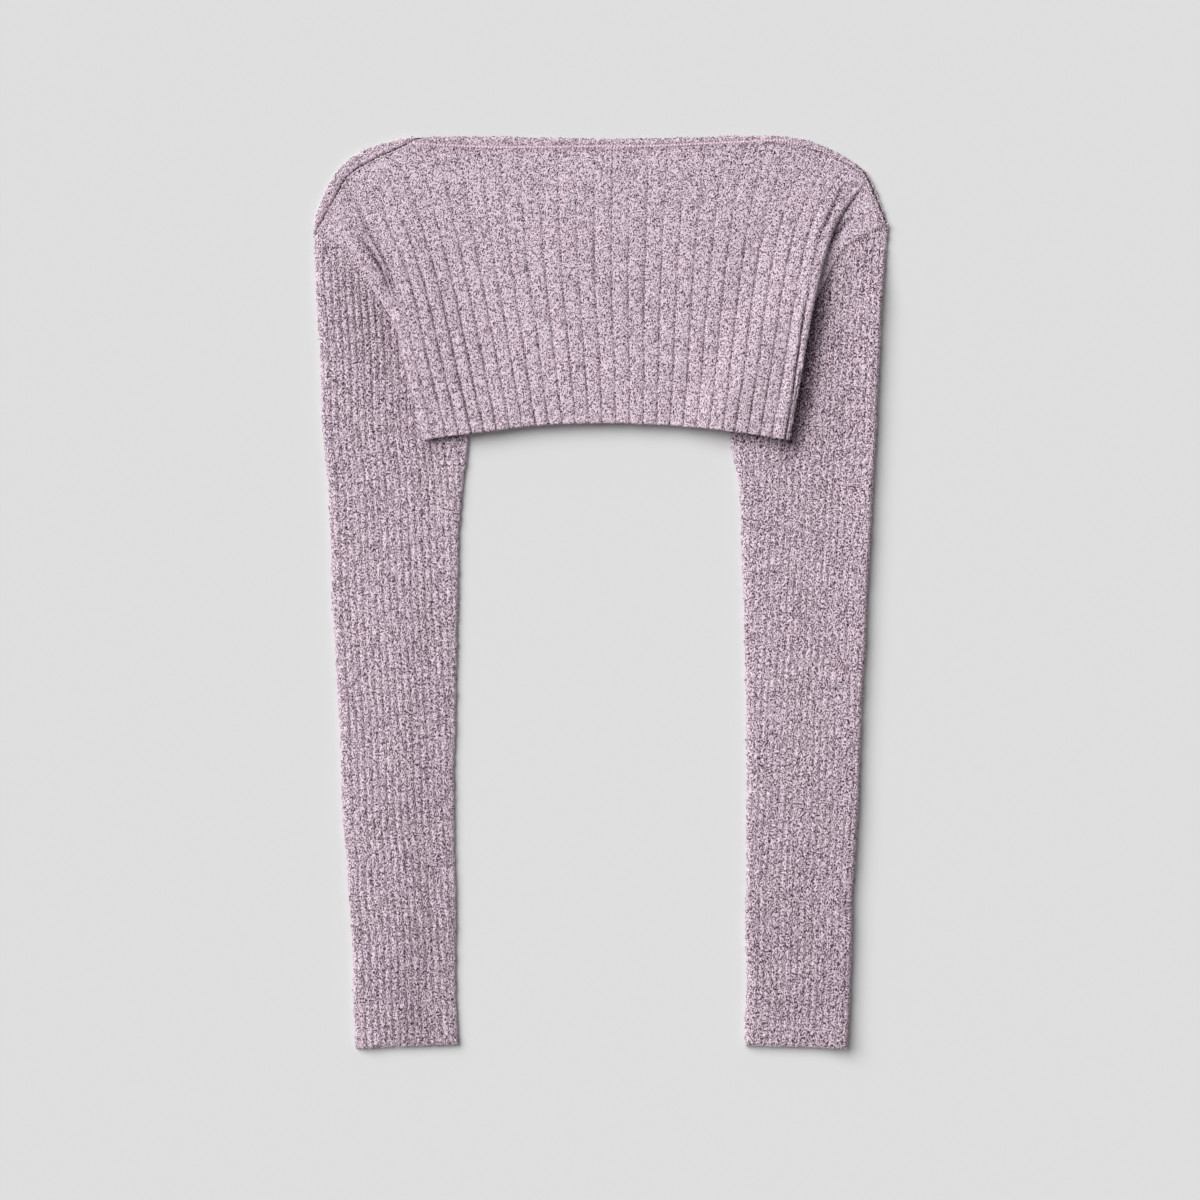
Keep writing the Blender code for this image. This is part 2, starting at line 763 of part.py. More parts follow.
def sleeve_ring(form, row, rib_height=SLEEVE_RIB_HEIGHT):
    """Outer ring of one mesh row: over the top from the outer side, back underneath."""
    cuff = CUFFS[form.side][0]
    ring = []

    def add(distance, from_side, lift, rib=0.0):
        across, up, inset, top, clamped = form.place(distance, from_side, row, SLEEVE_SIDE_ROUND)
        thick = sleeve_thickness(up, top, cuff)
        height = thick / 2 * (1.0 + lift * side_round(inset))
        if not clamped:
            fade = smooth_step((top - up) / SLEEVE_RIB_FADE)
            height += rib * rib_height * between(RIB_AT_SEAM, 1.0, fade)
        ring.append((across, up, height))

    add(0.0, "outer", 0.0)
    add(SLEEVE_EDGE_STEP, "outer", 1.0)
    for i in range(SLEEVE_RIBS):
        add(SLEEVE_RIB_PITCH * (i + 0.5), "outer", 1.0, rib=1.0)
        add(SLEEVE_RIB_PITCH * (i + 1.0), "outer", 1.0)
    add(SLEEVE_SIDE_ROUND, "inner", 1.0)
    add(SLEEVE_EDGE_STEP, "inner", 1.0)
    add(0.0, "inner", 0.0)
    add(SLEEVE_EDGE_STEP, "inner", -1.0)
    for share in UNDER_SHARES[::-1]:
        add(share, "share", -1.0)
    add(SLEEVE_EDGE_STEP, "outer", -1.0)
    return ring


def sleeve_hollow(form, row):
    """Inner ring of one mesh row, plain."""
    cuff = CUFFS[form.side][0]
    ring = []

    def add(distance, from_side, level):
        across, up, _, top, _ = form.place(distance, from_side, row, HOLLOW_FLAT)
        thick = sleeve_thickness(up, top, cuff)
        height = {"middle": thick / 2, "top": thick - SLEEVE_WALL, "bottom": SLEEVE_WALL}[level]
        ring.append((across, up, height))

    add(HOLLOW_SIDE, "outer", "middle")
    for share in UNDER_SHARES:
        add(share, "share", "top")
    add(HOLLOW_SIDE, "inner", "middle")
    for share in UNDER_SHARES[::-1]:
        add(share, "share", "bottom")
    return ring


def ring_keys(ring, sign):
    """Shares of the way round a ring: 0 to 1 over its top, 1 to 2 underneath."""
    corner = max(range(len(ring)), key=lambda k: -sign * ring[k][0])
    start, end = ring[0][0], ring[corner][0]
    keys = [(point[0] - start) / (end - start) for point in ring[:corner + 1]]
    keys += [2.0 - (point[0] - start) / (end - start) for point in ring[corner + 1:]]
    return keys + [2.0]


def lowered(ring):
    """A ring without ribs, drawn in a little towards the wall's inside."""
    across = [point[0] for point in ring]
    left = min(across) + SLEEVE_SIDE_ROUND
    right = max(across) - SLEEVE_SIDE_ROUND
    middle = ring[0][2]
    result = []
    for x, y, z in ring:
        core = min(max(x, left), right)
        size = math.hypot(x - core, z - middle)
        result.append((x - (x - core) / size * LIP_STEP, y, z - (z - middle) / size * LIP_STEP))
    return result


def closed(indices):
    return indices + indices[:1]


def make_sleeve(side, material):
    form = SleeveForm(side)
    wall = Wall()
    outer, inner = [], []
    for i in range(SLEEVE_ROWS + 1):
        row = i / SLEEVE_ROWS
        outer.append(closed(wall.row(sleeve_ring(form, row))))
        hollow = sleeve_hollow(form, row)
        inner.append(closed(wall.row(hollow)))
        if i in (0, SLEEVE_ROWS):
            plain = sleeve_ring(form, row, rib_height=0.0)
            lip = closed(wall.row(lowered(plain)))
            wall.strip(outer[-1], lip)
            wall.zip_rows(lip, ring_keys(plain, form.sign), inner[-1], ring_keys(hollow, form.sign))
    wall.grid(outer)
    wall.grid([row[::-1] for row in inner])
    return wall.build("sleeve_" + side, material)


# ---------------------------------------------------------------- neckband
def make_band(name, inner_edge, outer_edge, low, high, material):
    """A flat strip with rounded edges between two plan lines; low and high are its faces."""
    wall = Wall()
    rows = []
    for i, ((xi, yi), (xo, yo)) in enumerate(zip(inner_edge, outer_edge)):
        width = math.dist((xi, yi), (xo, yo))
        dx, dy = (xo - xi) / width, (yo - yi) / width
        bottom, top = low[i], high[i]
        middle = (bottom + top) / 2
        section = [(0.0, middle), (BAND_ROUND, top), (width - BAND_ROUND, top),
                   (width, middle), (width - BAND_ROUND_UNDER, bottom), (BAND_ROUND_UNDER, bottom)]
        indices = wall.row([(xi + dx * d, yi + dy * d, z) for d, z in section])
        rows.append(indices + indices[:1])
    wall.grid(rows)
    for end in (0, -1):
        wall.face(*rows[end][:-1])
    return wall.build(name, material)


def make_back_band(material):
    outer, inner = back_band_lines()
    low = [0.0] * len(outer)
    high = [BACK_BAND_WALL] * len(outer)
    return make_band("neckband_back", inner, outer, low, high, material)


def make_front_band(material):
    """The front run: its lower edge keeps to the front panel's neck edge."""
    stations = []
    for side, order in (("left", -1), ("right", 1)):
        tail = front_tail(side, 0.0)[1:]
        stations.append(tail[::order])
    middle = []
    for v, _ in front_columns():
        across, up = front_plan(v, 0.0)
        middle.append((across, up, front_height(v, 0.0)))
    line = stations[0] + middle + stations[1]
    plan = [(x, y) for x, y, _ in line]
    inner = moved_sideways(plan, SEAM_GAP_WIDE)
    widths = [smooth_value(BAND_WIDTHS, x, 1) for x, _ in plan]
    outer = []
    for i in range(len(plan)):
        outer.append(moved_sideways(plan, SEAM_GAP_WIDE + widths[i])[i])
    low = [z - BAND_WALL / 2 for _, _, z in line]
    high = [z + BAND_WALL / 2 for _, _, z in line]
    return make_band("neckband_front", inner, outer, low, high, material)


# ---------------------------------------------------------------- the garment
def clear_scene():
    for piece in list(bpy.data.objects):
        bpy.data.objects.remove(piece, do_unlink=True)


def main():
    clear_scene()
    body = yarn_material("body_knit", COLOURS["body"])
    sleeve = yarn_material("sleeve_knit", COLOURS["sleeve"])
    band = yarn_material("band_knit", COLOURS["band"])
    make_front(body)
    make_back(body)
    make_sleeve("left", sleeve)
    make_sleeve("right", sleeve)
    make_front_band(band)
    make_back_band(band)


main()
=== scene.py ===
"""Looks of the knitted shrug: ribbed shells of boucle yarn, curls of the yarn, linked seams.

All shapes are worked out in millimetres, in the frame of the solids: X across, Y up from the
cuffs to the neck, Z up from the surface. The meshes are made in metres.
"""

import json
import math

import bmesh
import bpy
import numpy as np
from mathutils import Matrix, Vector, noise

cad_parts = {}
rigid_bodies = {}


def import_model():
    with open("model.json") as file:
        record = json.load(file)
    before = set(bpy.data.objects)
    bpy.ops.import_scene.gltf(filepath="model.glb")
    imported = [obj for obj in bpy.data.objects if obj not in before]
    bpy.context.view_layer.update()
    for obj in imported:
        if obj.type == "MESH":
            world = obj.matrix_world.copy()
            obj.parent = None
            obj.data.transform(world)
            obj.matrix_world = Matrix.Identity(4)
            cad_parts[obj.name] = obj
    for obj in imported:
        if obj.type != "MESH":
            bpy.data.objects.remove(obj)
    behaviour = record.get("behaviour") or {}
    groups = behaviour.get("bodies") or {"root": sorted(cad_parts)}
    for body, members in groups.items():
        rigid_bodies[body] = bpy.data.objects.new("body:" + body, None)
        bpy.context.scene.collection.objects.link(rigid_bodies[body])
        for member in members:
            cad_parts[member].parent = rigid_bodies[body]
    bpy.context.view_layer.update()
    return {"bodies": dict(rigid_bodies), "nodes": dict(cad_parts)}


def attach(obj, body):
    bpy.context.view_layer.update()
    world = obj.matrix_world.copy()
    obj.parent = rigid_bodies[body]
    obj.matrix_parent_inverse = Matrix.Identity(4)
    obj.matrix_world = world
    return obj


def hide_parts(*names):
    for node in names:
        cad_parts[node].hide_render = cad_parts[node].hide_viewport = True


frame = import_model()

MM = 0.001
SEED = 11
SIGN = {"left": -1.0, "right": 1.0}

# Where a name gives a start and a width, something sets in at the start over that width.
# A swell is a smooth random unevenness: how much, how long each lump is, and its seed.

# ---------------------------------------------------------------- walls and edges
BODY_WALL = 2.0
SLEEVE_WALL = 1.8
BAND_WALL = 2.2
SEAM_GAP = 0.25
INNER_FACE_IN = 0.1          # the front's plain inner face lies this far inside the wall
EDGE_FRAY = (0.9, 2.4, 3.3)  # swell of a fuzzy edge
EDGE_IN = 0.35               # how far in an edge lies for its fuzz
HEM_FRAY_WIDTH = 1.2
WELD = 0.02                  # corners nearer than this are made one
BAND_WELD = 0.005
TINY = 1e-9

# ---------------------------------------------------------------- ribs of the body
# v runs across the front, from -1 at its left fold to 1 at its right one.
BODY_RIBS = 27
FIRST_VALLEY = -0.884
VALLEY_STEP = 0.0715
BODY_RIB_HEIGHT = 1.35
CREST_LEVEL = 0.75           # share of it by which a crest stands above the wall
RIB_ROUNDNESS = 5.0
VALLEY_WIDTH = 0.14
VALLEYS = np.array([
    # v, darkness of the painted shade in the valleys (it also sets how deep the ribs are), width
    # as a share of the plain one
    (-1.0, 1.15, 1.4), (-0.75, 1.22, 1.5), (-0.40, 0.88, 1.25), (-0.10, 0.85, 1.0),
    (0.35, 0.80, 1.0), (0.60, 0.92, 1.1), (0.90, 1.05, 1.1), (1.0, 1.10, 1.1),
])
BODY_PAINTED_SHADE = np.array([
    # v, how much shade is painted on the front there; negative values take painted shade away
    (-1.0, -0.02), (-0.6, -0.06), (-0.3, -0.02), (0.0, 0.05), (0.3, 0.03), (0.5, 0.07),
    (0.7, 0.16), (0.9, 0.14), (1.0, 0.10),
])
RIB_UNEVEN = 0.85            # the plain strength, to which the swells are added
BODY_RIB_SWELLS = ((0.45, 16.0, 8.7), (0.35, 5.0, 6.6))
BODY_RIB_WANDER = (0.04, 7.0, 3.1)
ALONG_BODY_RIBS = (1.0, 0.35, 0.0)     # a swell's lumps are drawn out along the ribs
# the valleys' painted shade grows with the ribs' unevenness, within limits
VALLEY_DARKER = 0.1
VALLEY_DARK_LIMITS = (0.2, 1.5)
LEFT_BORDER_SHARE = 0.45     # how strong the ribs still are beside the left fold
LAST_VALLEY_START = (0.93, 0.02)
# Painted shade beside the right fold, and less of it along the fold's crest.
RIGHT_BORDER_SHADE = (
    # how much painted shade, start and width along v, start and width downwards
    (0.14, (0.955, 0.02), (0.3, 0.1)),
    (-0.3, (0.972, 0.02), (0.15, 0.1)),
)
FRONT_SWELLS = ((0.34, 2.3, 5.3), (0.22, 4.4, 1.9))
FRONT_WAVE = (0.5, 38.0, 4.2)

# ---------------------------------------------------------------- ribs of the sleeves
SLEEVE_RIB_PITCH = {"left": 5.53, "right": 5.32}
SLEEVE_FIRST_VALLEY = {"left": (8.0, 9.6), "right": (5.2, 5.6)}    # at the armhole, at the cuff
SLEEVE_VALLEY_WIDTH = 0.32
SLEEVE_RIB_HEIGHT = {"left": 1.2, "right": 0.85}
SLEEVE_RIB_ROUNDNESS = 2.8
# painted shade in the sleeves' rib valleys
SLEEVE_VALLEY_DARK = {"left": 0.54, "right": 0.48}
SLEEVE_RIB_LIMITS = (0.4, 1.3)
SLEEVE_RIB_SWELLS = ((0.4, 14.0, 2.7), (0.3, 5.0, 3.9))
SLEEVE_RIB_WANDER = (0.06, 6.0, 9.4)
ALONG_RIBS = (1.0, 0.3, 0.0)
SLEEVE_RIB_FADE = 14.0
RIB_AT_SEAM = 0.3
RIB_SIDE_START, RIB_SIDE_WIDTH = 1.0, 4.0    # the ribs fade beside the sleeve's rounded sides
DEEP_RIBS_AT = (-186.0, 228.0)               # across and up: the left sleeve's deepest ribs
DEEP_RIBS_REACH = (20.0, 46.0)
# the left sleeve's deepest ribs are sunk further and carry more painted shade
DEEP_RIBS_MORE, DEEP_RIBS_DOWN, DEEP_RIBS_SHADE = 1.2, 0.5, 0.06
SLEEVE_SWELL = (0.42, 4.2, 7.7)
SLEEVE_WAVE = (0.45, 30.0, 5.5)
WAVE_FADE = 6.0
SWELL_AT_SIDE = 0.3

# ---------------------------------------------------------------- how the sleeves lie
SLEEVE_SIDE_ROUND = 3.0      # how far in from a side the sleeve is rounded
SLEEVE_PRESSED = 4.3         # thickness at the ends
SLEEVE_FULL = 5.0            # and between them
SLEEVE_FILL_RUN = 60.0
CUFF_QUICKER = 2.0           # it fills out sooner from the cuff than from the seam
CUFF_OPEN = {"left": 1.3, "right": 2.6}      # the cuffs' ends stand a little open
CUFF_OPEN_RUN = 14.0
RAISED_SIDE = 6.2            # the right sleeve's outer side stands off the surface
RAISED_RUN = 17.0
RAISED_START = (4.0, 60.0)   # below the seam
HOLLOW_IN_SIDE = SLEEVE_WALL + 0.6
HOLLOW_IN_FLAT = SLEEVE_WALL + 1.6

# ---------------------------------------------------------------- painted shade and light on the sleeves, and their frayed ends
SLEEVE_PAINTED_SHADE = {
    # up, how much shade is painted on a sleeve at its outer side, in the middle, at its inner
    # side; negative values take painted shade away
    "left": np.array([
        (-365.0, -0.14, 0.18, 0.14), (-320.0, -0.10, 0.15, 0.10), (-230.0, -0.16, 0.00, 0.11),
        (-130.0, -0.20, -0.09, 0.12), (-30.0, -0.28, -0.14, -0.03), (70.0, -0.26, -0.28, -0.20),
        (130.0, -0.05, 0.00, 0.05), (260.0, 0.05, 0.05, 0.05)]),
    "right": np.array([
        (-365.0, 0.42, 0.19, 0.10), (-320.0, 0.42, 0.17, 0.10), (-230.0, 0.42, 0.08, 0.13),
        (-130.0, 0.34, 0.06, 0.02), (-30.0, 0.26, 0.02, -0.14), (70.0, 0.17, 0.02, -0.08),
        (130.0, 0.20, 0.08, 0.00), (260.0, 0.22, 0.19, 0.10)]),
}
PAINTED_SHADE_AT, PAINTED_SHADE_STEP = 0.12, 0.38      # shares of the width at which the painted shade's columns apply
LEFT_EDGE_LIGHT = 0.15               # the light falls on the left sleeve's outer edge
LEFT_EDGE_ACROSS = (200.0, 14.0)
LEFT_EDGE_UP = (130.0, 90.0)
CUFF_SHADE = 0.16
CUFF_SHADE_START = (120.0, 240.0)
RIM_LIGHT = 0.35             # fuzz stands at the rims and catches the light
RIM_WIDTH = 2.5
CUFF_RIM_WIDTH = 1.6
CUFF_FRAY_WIDTH = 1.5
FRAYED_ABOVE = 0.8           # the edge doesn't stray where it lies on the surface
SHADE_BY_FOLD = {
    # up, how dark the sleeve is beside the fold, how far
    "left": np.array([(100.0, 0.22, 26.0), (220.0, 0.22, 26.0), (290.0, 0.0, 16.0)]),
    "right": np.array([(100.0, 0.0, 12.0), (118.0, 0.95, 17.0), (150.0, 1.35, 21.0),
                       (190.0, 1.35, 20.0), (225.0, 1.35, 18.5), (250.0, 1.25, 15.5),
                       (275.0, 0.5, 12.0), (290.0, 0.0, 10.0)]),
}
FOLD_SHADE_FADE = (0.42, 0.53)       # as shares of how far it reaches
FOLD_SHADE_UNDER = -6.0              # and how far it runs under the fold
FRINGE_OUT = 1.1             # loose loops stand out from the cuffs' ends
FRINGE_DROP = 0.7
FRINGE_WEIGHT = 9.0
FRINGE_PAINTED_LIGHT = 1.6            # and carry painted light

# ---------------------------------------------------------------- how the front lies
FOLD_RADIUS = {"left": 1.8, "right": 1.0}
EDGE_OUT = 0.8
FOLD_INSET = EDGE_OUT + BODY_WALL / 2
NARROWEST_CAP = 4.5
NARROWEST_EDGE = 1.0
SHORTEST_FLAP = 3.0
HANG_END = 3.6
HANG_DROP = 0.65
HANG_OUT = 1.2
CAP_HEIGHT = 3.4
ROLL_START = {"left": 2.0, "right": 4.0}
ROLL_WIDTH = 9.0
SAG_START = 6.0
SAG_WIDTH = 48.0
TAIL_RUN = 3
TAIL_CROWDING = 1.6          # its columns crowd towards the fold
BACK_BAND_WIDTH = 11.0
BACK_CORNER = 0.08
NECK_LEVELS = (300.0, 361.5)
HEM_LEVEL = 128.0
SEARCH_STEPS = 24
CURVE_STEPS = 12
SEAM_POINTS = 60

BODY_SECTIONS = np.array([
    # up, left fold, centre, spread, right fold
    (361.6, -260.8, 0.8, 201.6, 239.2),
    (329.6, -209.6, 0.0, 196.8, 212.8),
    (297.6, -193.2, 0.0, 192.8, 188.7),
    (265.6, -176.8, 0.0, 187.2, 177.3),
    (233.6, -166.0, 0.6, 177.6, 169.4),
    (201.6, -160.0, 1.6, 168.0, 163.4),
    (169.6, -152.8, 2.8, 160.0, 157.8),
    (120.8, -141.2, 4.8, 144.8, 148.8),
])
CENTRE, SPREAD = 2, 3
FOLD = {"left": 1, "right": 4}

FRONT_NECK = np.array([
    # across, up
    (-209.0, 320.3), (-205.2, 325.2), (-197.4, 333.8), (-184.8, 341.7), (-170.5, 348.8),
    (-160.2, 353.2), (-151.6, 356.9), (-140.0, 357.2), (-120.8, 356.0), (-80.8, 354.6),
    (-0.8, 355.4), (39.2, 355.6), (79.2, 357.4), (119.2, 359.2), (143.2, 359.9), (160.0, 356.2),
    (178.4, 350.8), (197.6, 341.6), (207.2, 334.4), (213.6, 325.6), (216.0, 320.0),
])
FRONT_HEM = np.array([
    # across, up
    (-141.2, 120.8), (-120.8, 124.0), (-100.8, 126.8), (-80.8, 129.2), (-48.8, 132.8),
    (-0.8, 134.6), (47.2, 133.2), (79.2, 130.4), (111.2, 126.4), (131.2, 123.6), (150.4, 121.0),
])
BACK_HEM = np.array([
    # across, up
    (-108.0, 133.0), (-50.0, 138.0), (0.0, 140.0), (50.0, 138.0), (107.0, 133.0),
])
ARMHOLES = np.array([
    # station, left across, left up, right across, right up
    (-0.05, -231.0, 289.6, 231.5, 293.6),
    (0.00, -225.6, 288.0, 226.4, 292.8),
    (0.10, -216.0, 281.6, 215.2, 287.6),
    (0.20, -204.8, 273.6, 201.6, 281.0),
    (0.30, -195.2, 262.4, 188.0, 267.2),
    (0.42, -181.6, 241.6, 174.8, 241.6),
    (0.50, -171.0, 224.0, 167.4, 228.5),
    (0.56, -163.2, 211.2, 160.3, 217.5),
    (0.65, -154.4, 196.8, 149.4, 199.6),
    (0.80, -135.8, 168.6, 130.4, 169.8),
    (1.00, -108.8, 132.6, 107.2, 132.6),
])
ARM = {"left": (1, 2), "right": (3, 4)}

FRONT_HEIGHTS = np.array([
    # down, left fold, beside it, middle, beside right fold, right fold
    (0.00, 4.3, 4.3, 4.0, 4.0, 4.1),
    (0.12, 5.8, 5.4, 4.0, 6.0, 7.4),
    (0.25, 7.4, 6.8, 4.1, 9.0, 11.6),
    (0.36, 8.6, 8.0, 4.4, 12.0, 15.0),
    (0.42, 9.3, 8.7, 4.7, 13.2, 16.4),
    (0.50, 10.0, 9.2, 5.0, 14.0, 17.2),
    (0.58, 10.4, 9.7, 5.4, 14.4, 17.6),
    (0.75, 10.8, 10.0, 7.0, 14.8, 17.8),
    (1.00, 11.2, 10.4, 9.4, 15.0, 17.6),
])
TOP = {"left": 1, "right": 5}
REST = {"left": 2, "right": 4}
MIDDLE = 3

FLAP_HEIGHTS = np.array([
    # down, fold, free end
    (0.35, 6.6, 6.4),
    (0.60, 7.0, 6.5),
    (1.00, 7.7, 7.0),
])
# Stations of the wall's turn: how far out, with what share of the fold's radius, how far down.
TURN_TO_CAP = ((1.0, -0.3, 0.15), (1.0, 0.0, 0.50), (2.0, 0.0, 0.85), (3.5, 0.0, 1.00))
TURN_HANGING = ((1.0, -0.3, 0.12), (1.0, 0.0, 0.45), (1.25, 0.0, 0.75), (1.375, 0.0, 1.00))
TURN_UNDER = ((1.0, -0.3, 0.15), (1.0, 0.0, 0.50), (1.0, -0.3, 0.85), (1.0, -1.0, 1.00))

RIB_DEPTHS = np.array([
    # down, share of the full rib height
    (0.00, 0.32), (0.15, 0.48), (0.30, 0.72), (0.45, 0.92), (0.60, 1.02),
    (0.85, 1.05), (1.00, 1.15),
])

RIB_DRIFT = np.array([
    # up, share of a rib by which the valleys run aside on the left, in the middle, on the right
    (120.0, 0.04, 0.06, 0.17),
    (147.0, 0.04, 0.08, 0.18),
    (182.0, 0.00, 0.09, 0.19),
    (220.0, -0.07, 0.03, 0.14),
    (260.0, -0.12, -0.02, 0.03),
    (300.0, -0.21, -0.02, 0.03),
    (332.0, -0.28, 0.00, 0.02),
    (365.0, -0.30, 0.00, 0.02),
])
DRIFT_AT = 0.6
DRIFT_END = (0.90, 0.08)
LAST_RIB_DRIFT = (0.92, 0.02)
DRIFTS_BELOW = 0.995
LAST_RIB = np.array([
    # up, how far the last valley runs in towards the right fold, its strength
    (120.0, 0.26, 2.3), (146.0, 0.24, 2.3), (180.0, 0.10, 2.2), (216.0, 0.00, 1.5),
    (240.0, 0.00, 0.5), (262.0, 0.00, 0.15), (300.0, 0.00, 0.15),
])

SLEEVE_SECTIONS = np.array([
    # up, left outer, left inner, right inner, right outer
    (292.0, -230.0, -96.0, 95.0, 230.3),
    (272.0, -229.2, -96.7, 95.5, 228.2),
    (246.0, -228.4, -97.7, 96.0, 226.1),
    (221.0, -226.8, -98.8, 96.8, 224.1),
    (195.0, -225.0, -100.3, 98.1, 223.2),
    (170.0, -224.0, -101.9, 99.5, 221.9),
    (144.0, -223.6, -103.8, 101.3, 220.8),
    (118.0, -221.6, -105.9, 103.6, 219.7),
    (93.0, -218.7, -109.0, 108.9, 217.9),
    (67.0, -217.4, -111.8, 111.5, 216.7),
    (42.0, -216.4, -113.4, 111.9, 215.6),
    (16.0, -215.4, -113.7, 112.7, 214.0),
    (-10.0, -214.7, -114.0, 114.1, 212.4),
    (-35.0, -213.2, -114.8, 114.4, 211.9),
    (-61.0, -211.9, -115.4, 115.2, 210.2),
    (-86.0, -210.3, -115.9, 115.8, 208.6),
    (-112.0, -208.8, -116.0, 115.8, 207.9),
    (-138.0, -208.0, -117.2, 116.5, 206.8),
    (-163.0, -207.3, -117.1, 116.5, 206.4),
    (-189.0, -206.1, -116.9, 115.8, 204.7),
    (-214.0, -203.4, -116.6, 116.4, 203.3),
    (-240.0, -202.1, -115.7, 116.0, 201.2),
    (-266.0, -200.0, -115.6, 114.9, 201.0),
    (-291.0, -198.6, -116.1, 116.0, 200.3),
    (-317.0, -198.4, -115.9, 116.3, 199.6),
    (-342.0, -197.3, -114.8, 114.9, 198.5),
    (-365.0, -196.1, -113.5, 115.0, 196.6),
])
OUTER = {"left": 1, "right": 4}
INNER = {"left": 2, "right": 3}
CUFFS = {"left": (-362.9, -360.1), "right": (-362.5, -360.8)}

NECK_OUTLINE = np.array([
    # across, up
    (-229.6, 291.5), (-228.4, 300.0), (-224.4, 311.0), (-218.4, 324.0), (-210.6, 337.0),
    (-199.2, 347.5), (-184.8, 355.1), (-167.2, 360.4), (-144.8, 363.6), (-96.8, 364.4),
    (-0.8, 362.7), (111.2, 364.2), (151.2, 363.6), (170.4, 359.2), (189.6, 350.3),
    (205.6, 341.2), (213.4, 334.2), (219.6, 321.6), (225.0, 307.6), (229.4, 294.6),
])
BAND_WIDTHS = np.array([
    # across, width
    (-226.0, 1.0), (-165.0, 1.0), (-154.0, 1.4), (-147.0, 4.2), (-140.0, 6.0), (-120.0, 7.6),
    (-80.0, 9.0), (0.0, 6.7), (80.0, 6.0), (120.0, 4.8), (143.0, 4.0), (160.0, 5.0),
    (178.0, 4.2), (198.0, 2.7), (208.0, 1.8), (216.0, 1.6), (226.0, 1.5),
])

# Creases pressed into the front, each a line with its depth, width and the darkness of the shade
# painted in it.
CREASES = [
    # across, up, depth, width, darkness of the painted shade
    np.array([(-206.4, 326.4, 0.5, 1.5, 1.00), (-199.2, 316.8, 0.6, 1.7, 0.70),
              (-191.2, 300.0, 1.2, 1.9, 1.10), (-186.4, 288.0, 1.7, 2.2, 1.45),
              (-179.2, 276.8, 1.5, 2.2, 1.35), (-172.8, 264.0, 1.4, 2.1, 1.25),
              (-167.2, 252.8, 0.9, 1.9, 0.95), (-161.6, 233.6, 0.5, 1.6, 0.60)]),
    np.array([(-193.6, 283.2, 0.5, 1.7, 0.90), (-186.4, 275.2, 1.3, 2.0, 1.60),
              (-181.2, 268.0, 1.7, 2.3, 1.90), (-176.2, 260.8, 2.0, 2.6, 2.20),
              (-171.8, 252.8, 2.1, 3.0, 2.30), (-168.6, 244.8, 1.8, 3.2, 2.00),
              (-165.4, 236.0, 1.2, 2.6, 1.40), (-162.6, 225.6, 0.5, 1.8, 0.60)]),
    np.array([(-200.8, 316.8, 0.4, 5.0, 0.10), (-194.4, 296.0, 0.9, 7.0, 0.24),
              (-186.4, 276.8, 1.0, 7.0, 0.30), (-176.8, 257.6, 0.8, 6.0, 0.30),
              (-170.4, 241.6, 0.3, 4.0, 0.15)]),
    np.array([(208.0, 323.2, 0.2, 1.3, 0.20), (199.2, 311.2, 0.5, 1.4, 0.55),
              (193.6, 302.4, 0.8, 1.7, 0.85), (189.6, 294.4, 1.2, 2.1, 1.25),
              (185.6, 284.0, 1.0, 2.2, 1.30), (181.6, 273.6, 0.6, 2.0, 0.80)]),
    np.array([(200.8, 300.0, 0.4, 1.5, 0.80), (195.2, 294.2, 1.2, 1.7, 1.60),
              (189.6, 287.6, 1.3, 1.9, 1.70), (185.6, 281.6, 0.8, 2.4, 1.40)]),
    np.array([(194.8, 326.4, 0.4, 1.5, 0.80), (190.4, 318.8, 1.1, 1.7, 1.70),
              (184.8, 306.4, 1.2, 1.8, 1.60), (180.1, 295.8, 1.3, 1.8, 1.70),
              (174.8, 286.5, 1.1, 1.8, 1.40), (170.6, 269.6, 0.8, 1.8, 1.00),
              (167.6, 258.7, 0.7, 1.8, 0.70), (164.6, 241.6, 0.5, 1.6, 0.50)]),
    np.array([(178.4, 324.0, 0.3, 1.8, 0.25), (172.0, 304.0, 0.5, 1.9, 0.35),
              (165.6, 284.0, 0.5, 1.9, 0.35), (160.0, 264.0, 0.4, 1.8, 0.30)]),
]

# Creases on the sleeves, in the same columns, with the shade painted in them.
SLEEVE_CREASES = {
    "left": [np.array([(-206.0, 262.0, 0.3, 3.0, 0.25), (-198.4, 270.6, 0.8, 3.4, 0.75),
                       (-191.0, 264.0, 0.7, 4.0, 0.60), (-183.0, 248.0, 0.6, 5.0, 0.45),
                       (-176.0, 226.0, 0.3, 6.0, 0.25)])],
    "right": [np.array([(229.0, 292.6, 0.4, 2.4, 0.80), (224.0, 287.0, 0.2, 2.0, 0.20)]),
              np.array([(192.0, 268.0, 0.3, 4.0, 0.35), (184.0, 262.0, 0.5, 5.0, 0.60),
                        (178.0, 248.0, 0.5, 7.0, 0.60)])],
}

# ---------------------------------------------------------------- how finely the shells are made
FRONT_LEVELS = 196
RIB_COLUMNS = (0.0, 0.045, 0.10, 0.17, 0.26, 0.37, 0.50, 0.63, 0.74, 0.83, 0.90, 0.955)
BORDER_COLUMNS = (16, 4)
TAIL_COLUMNS = 22
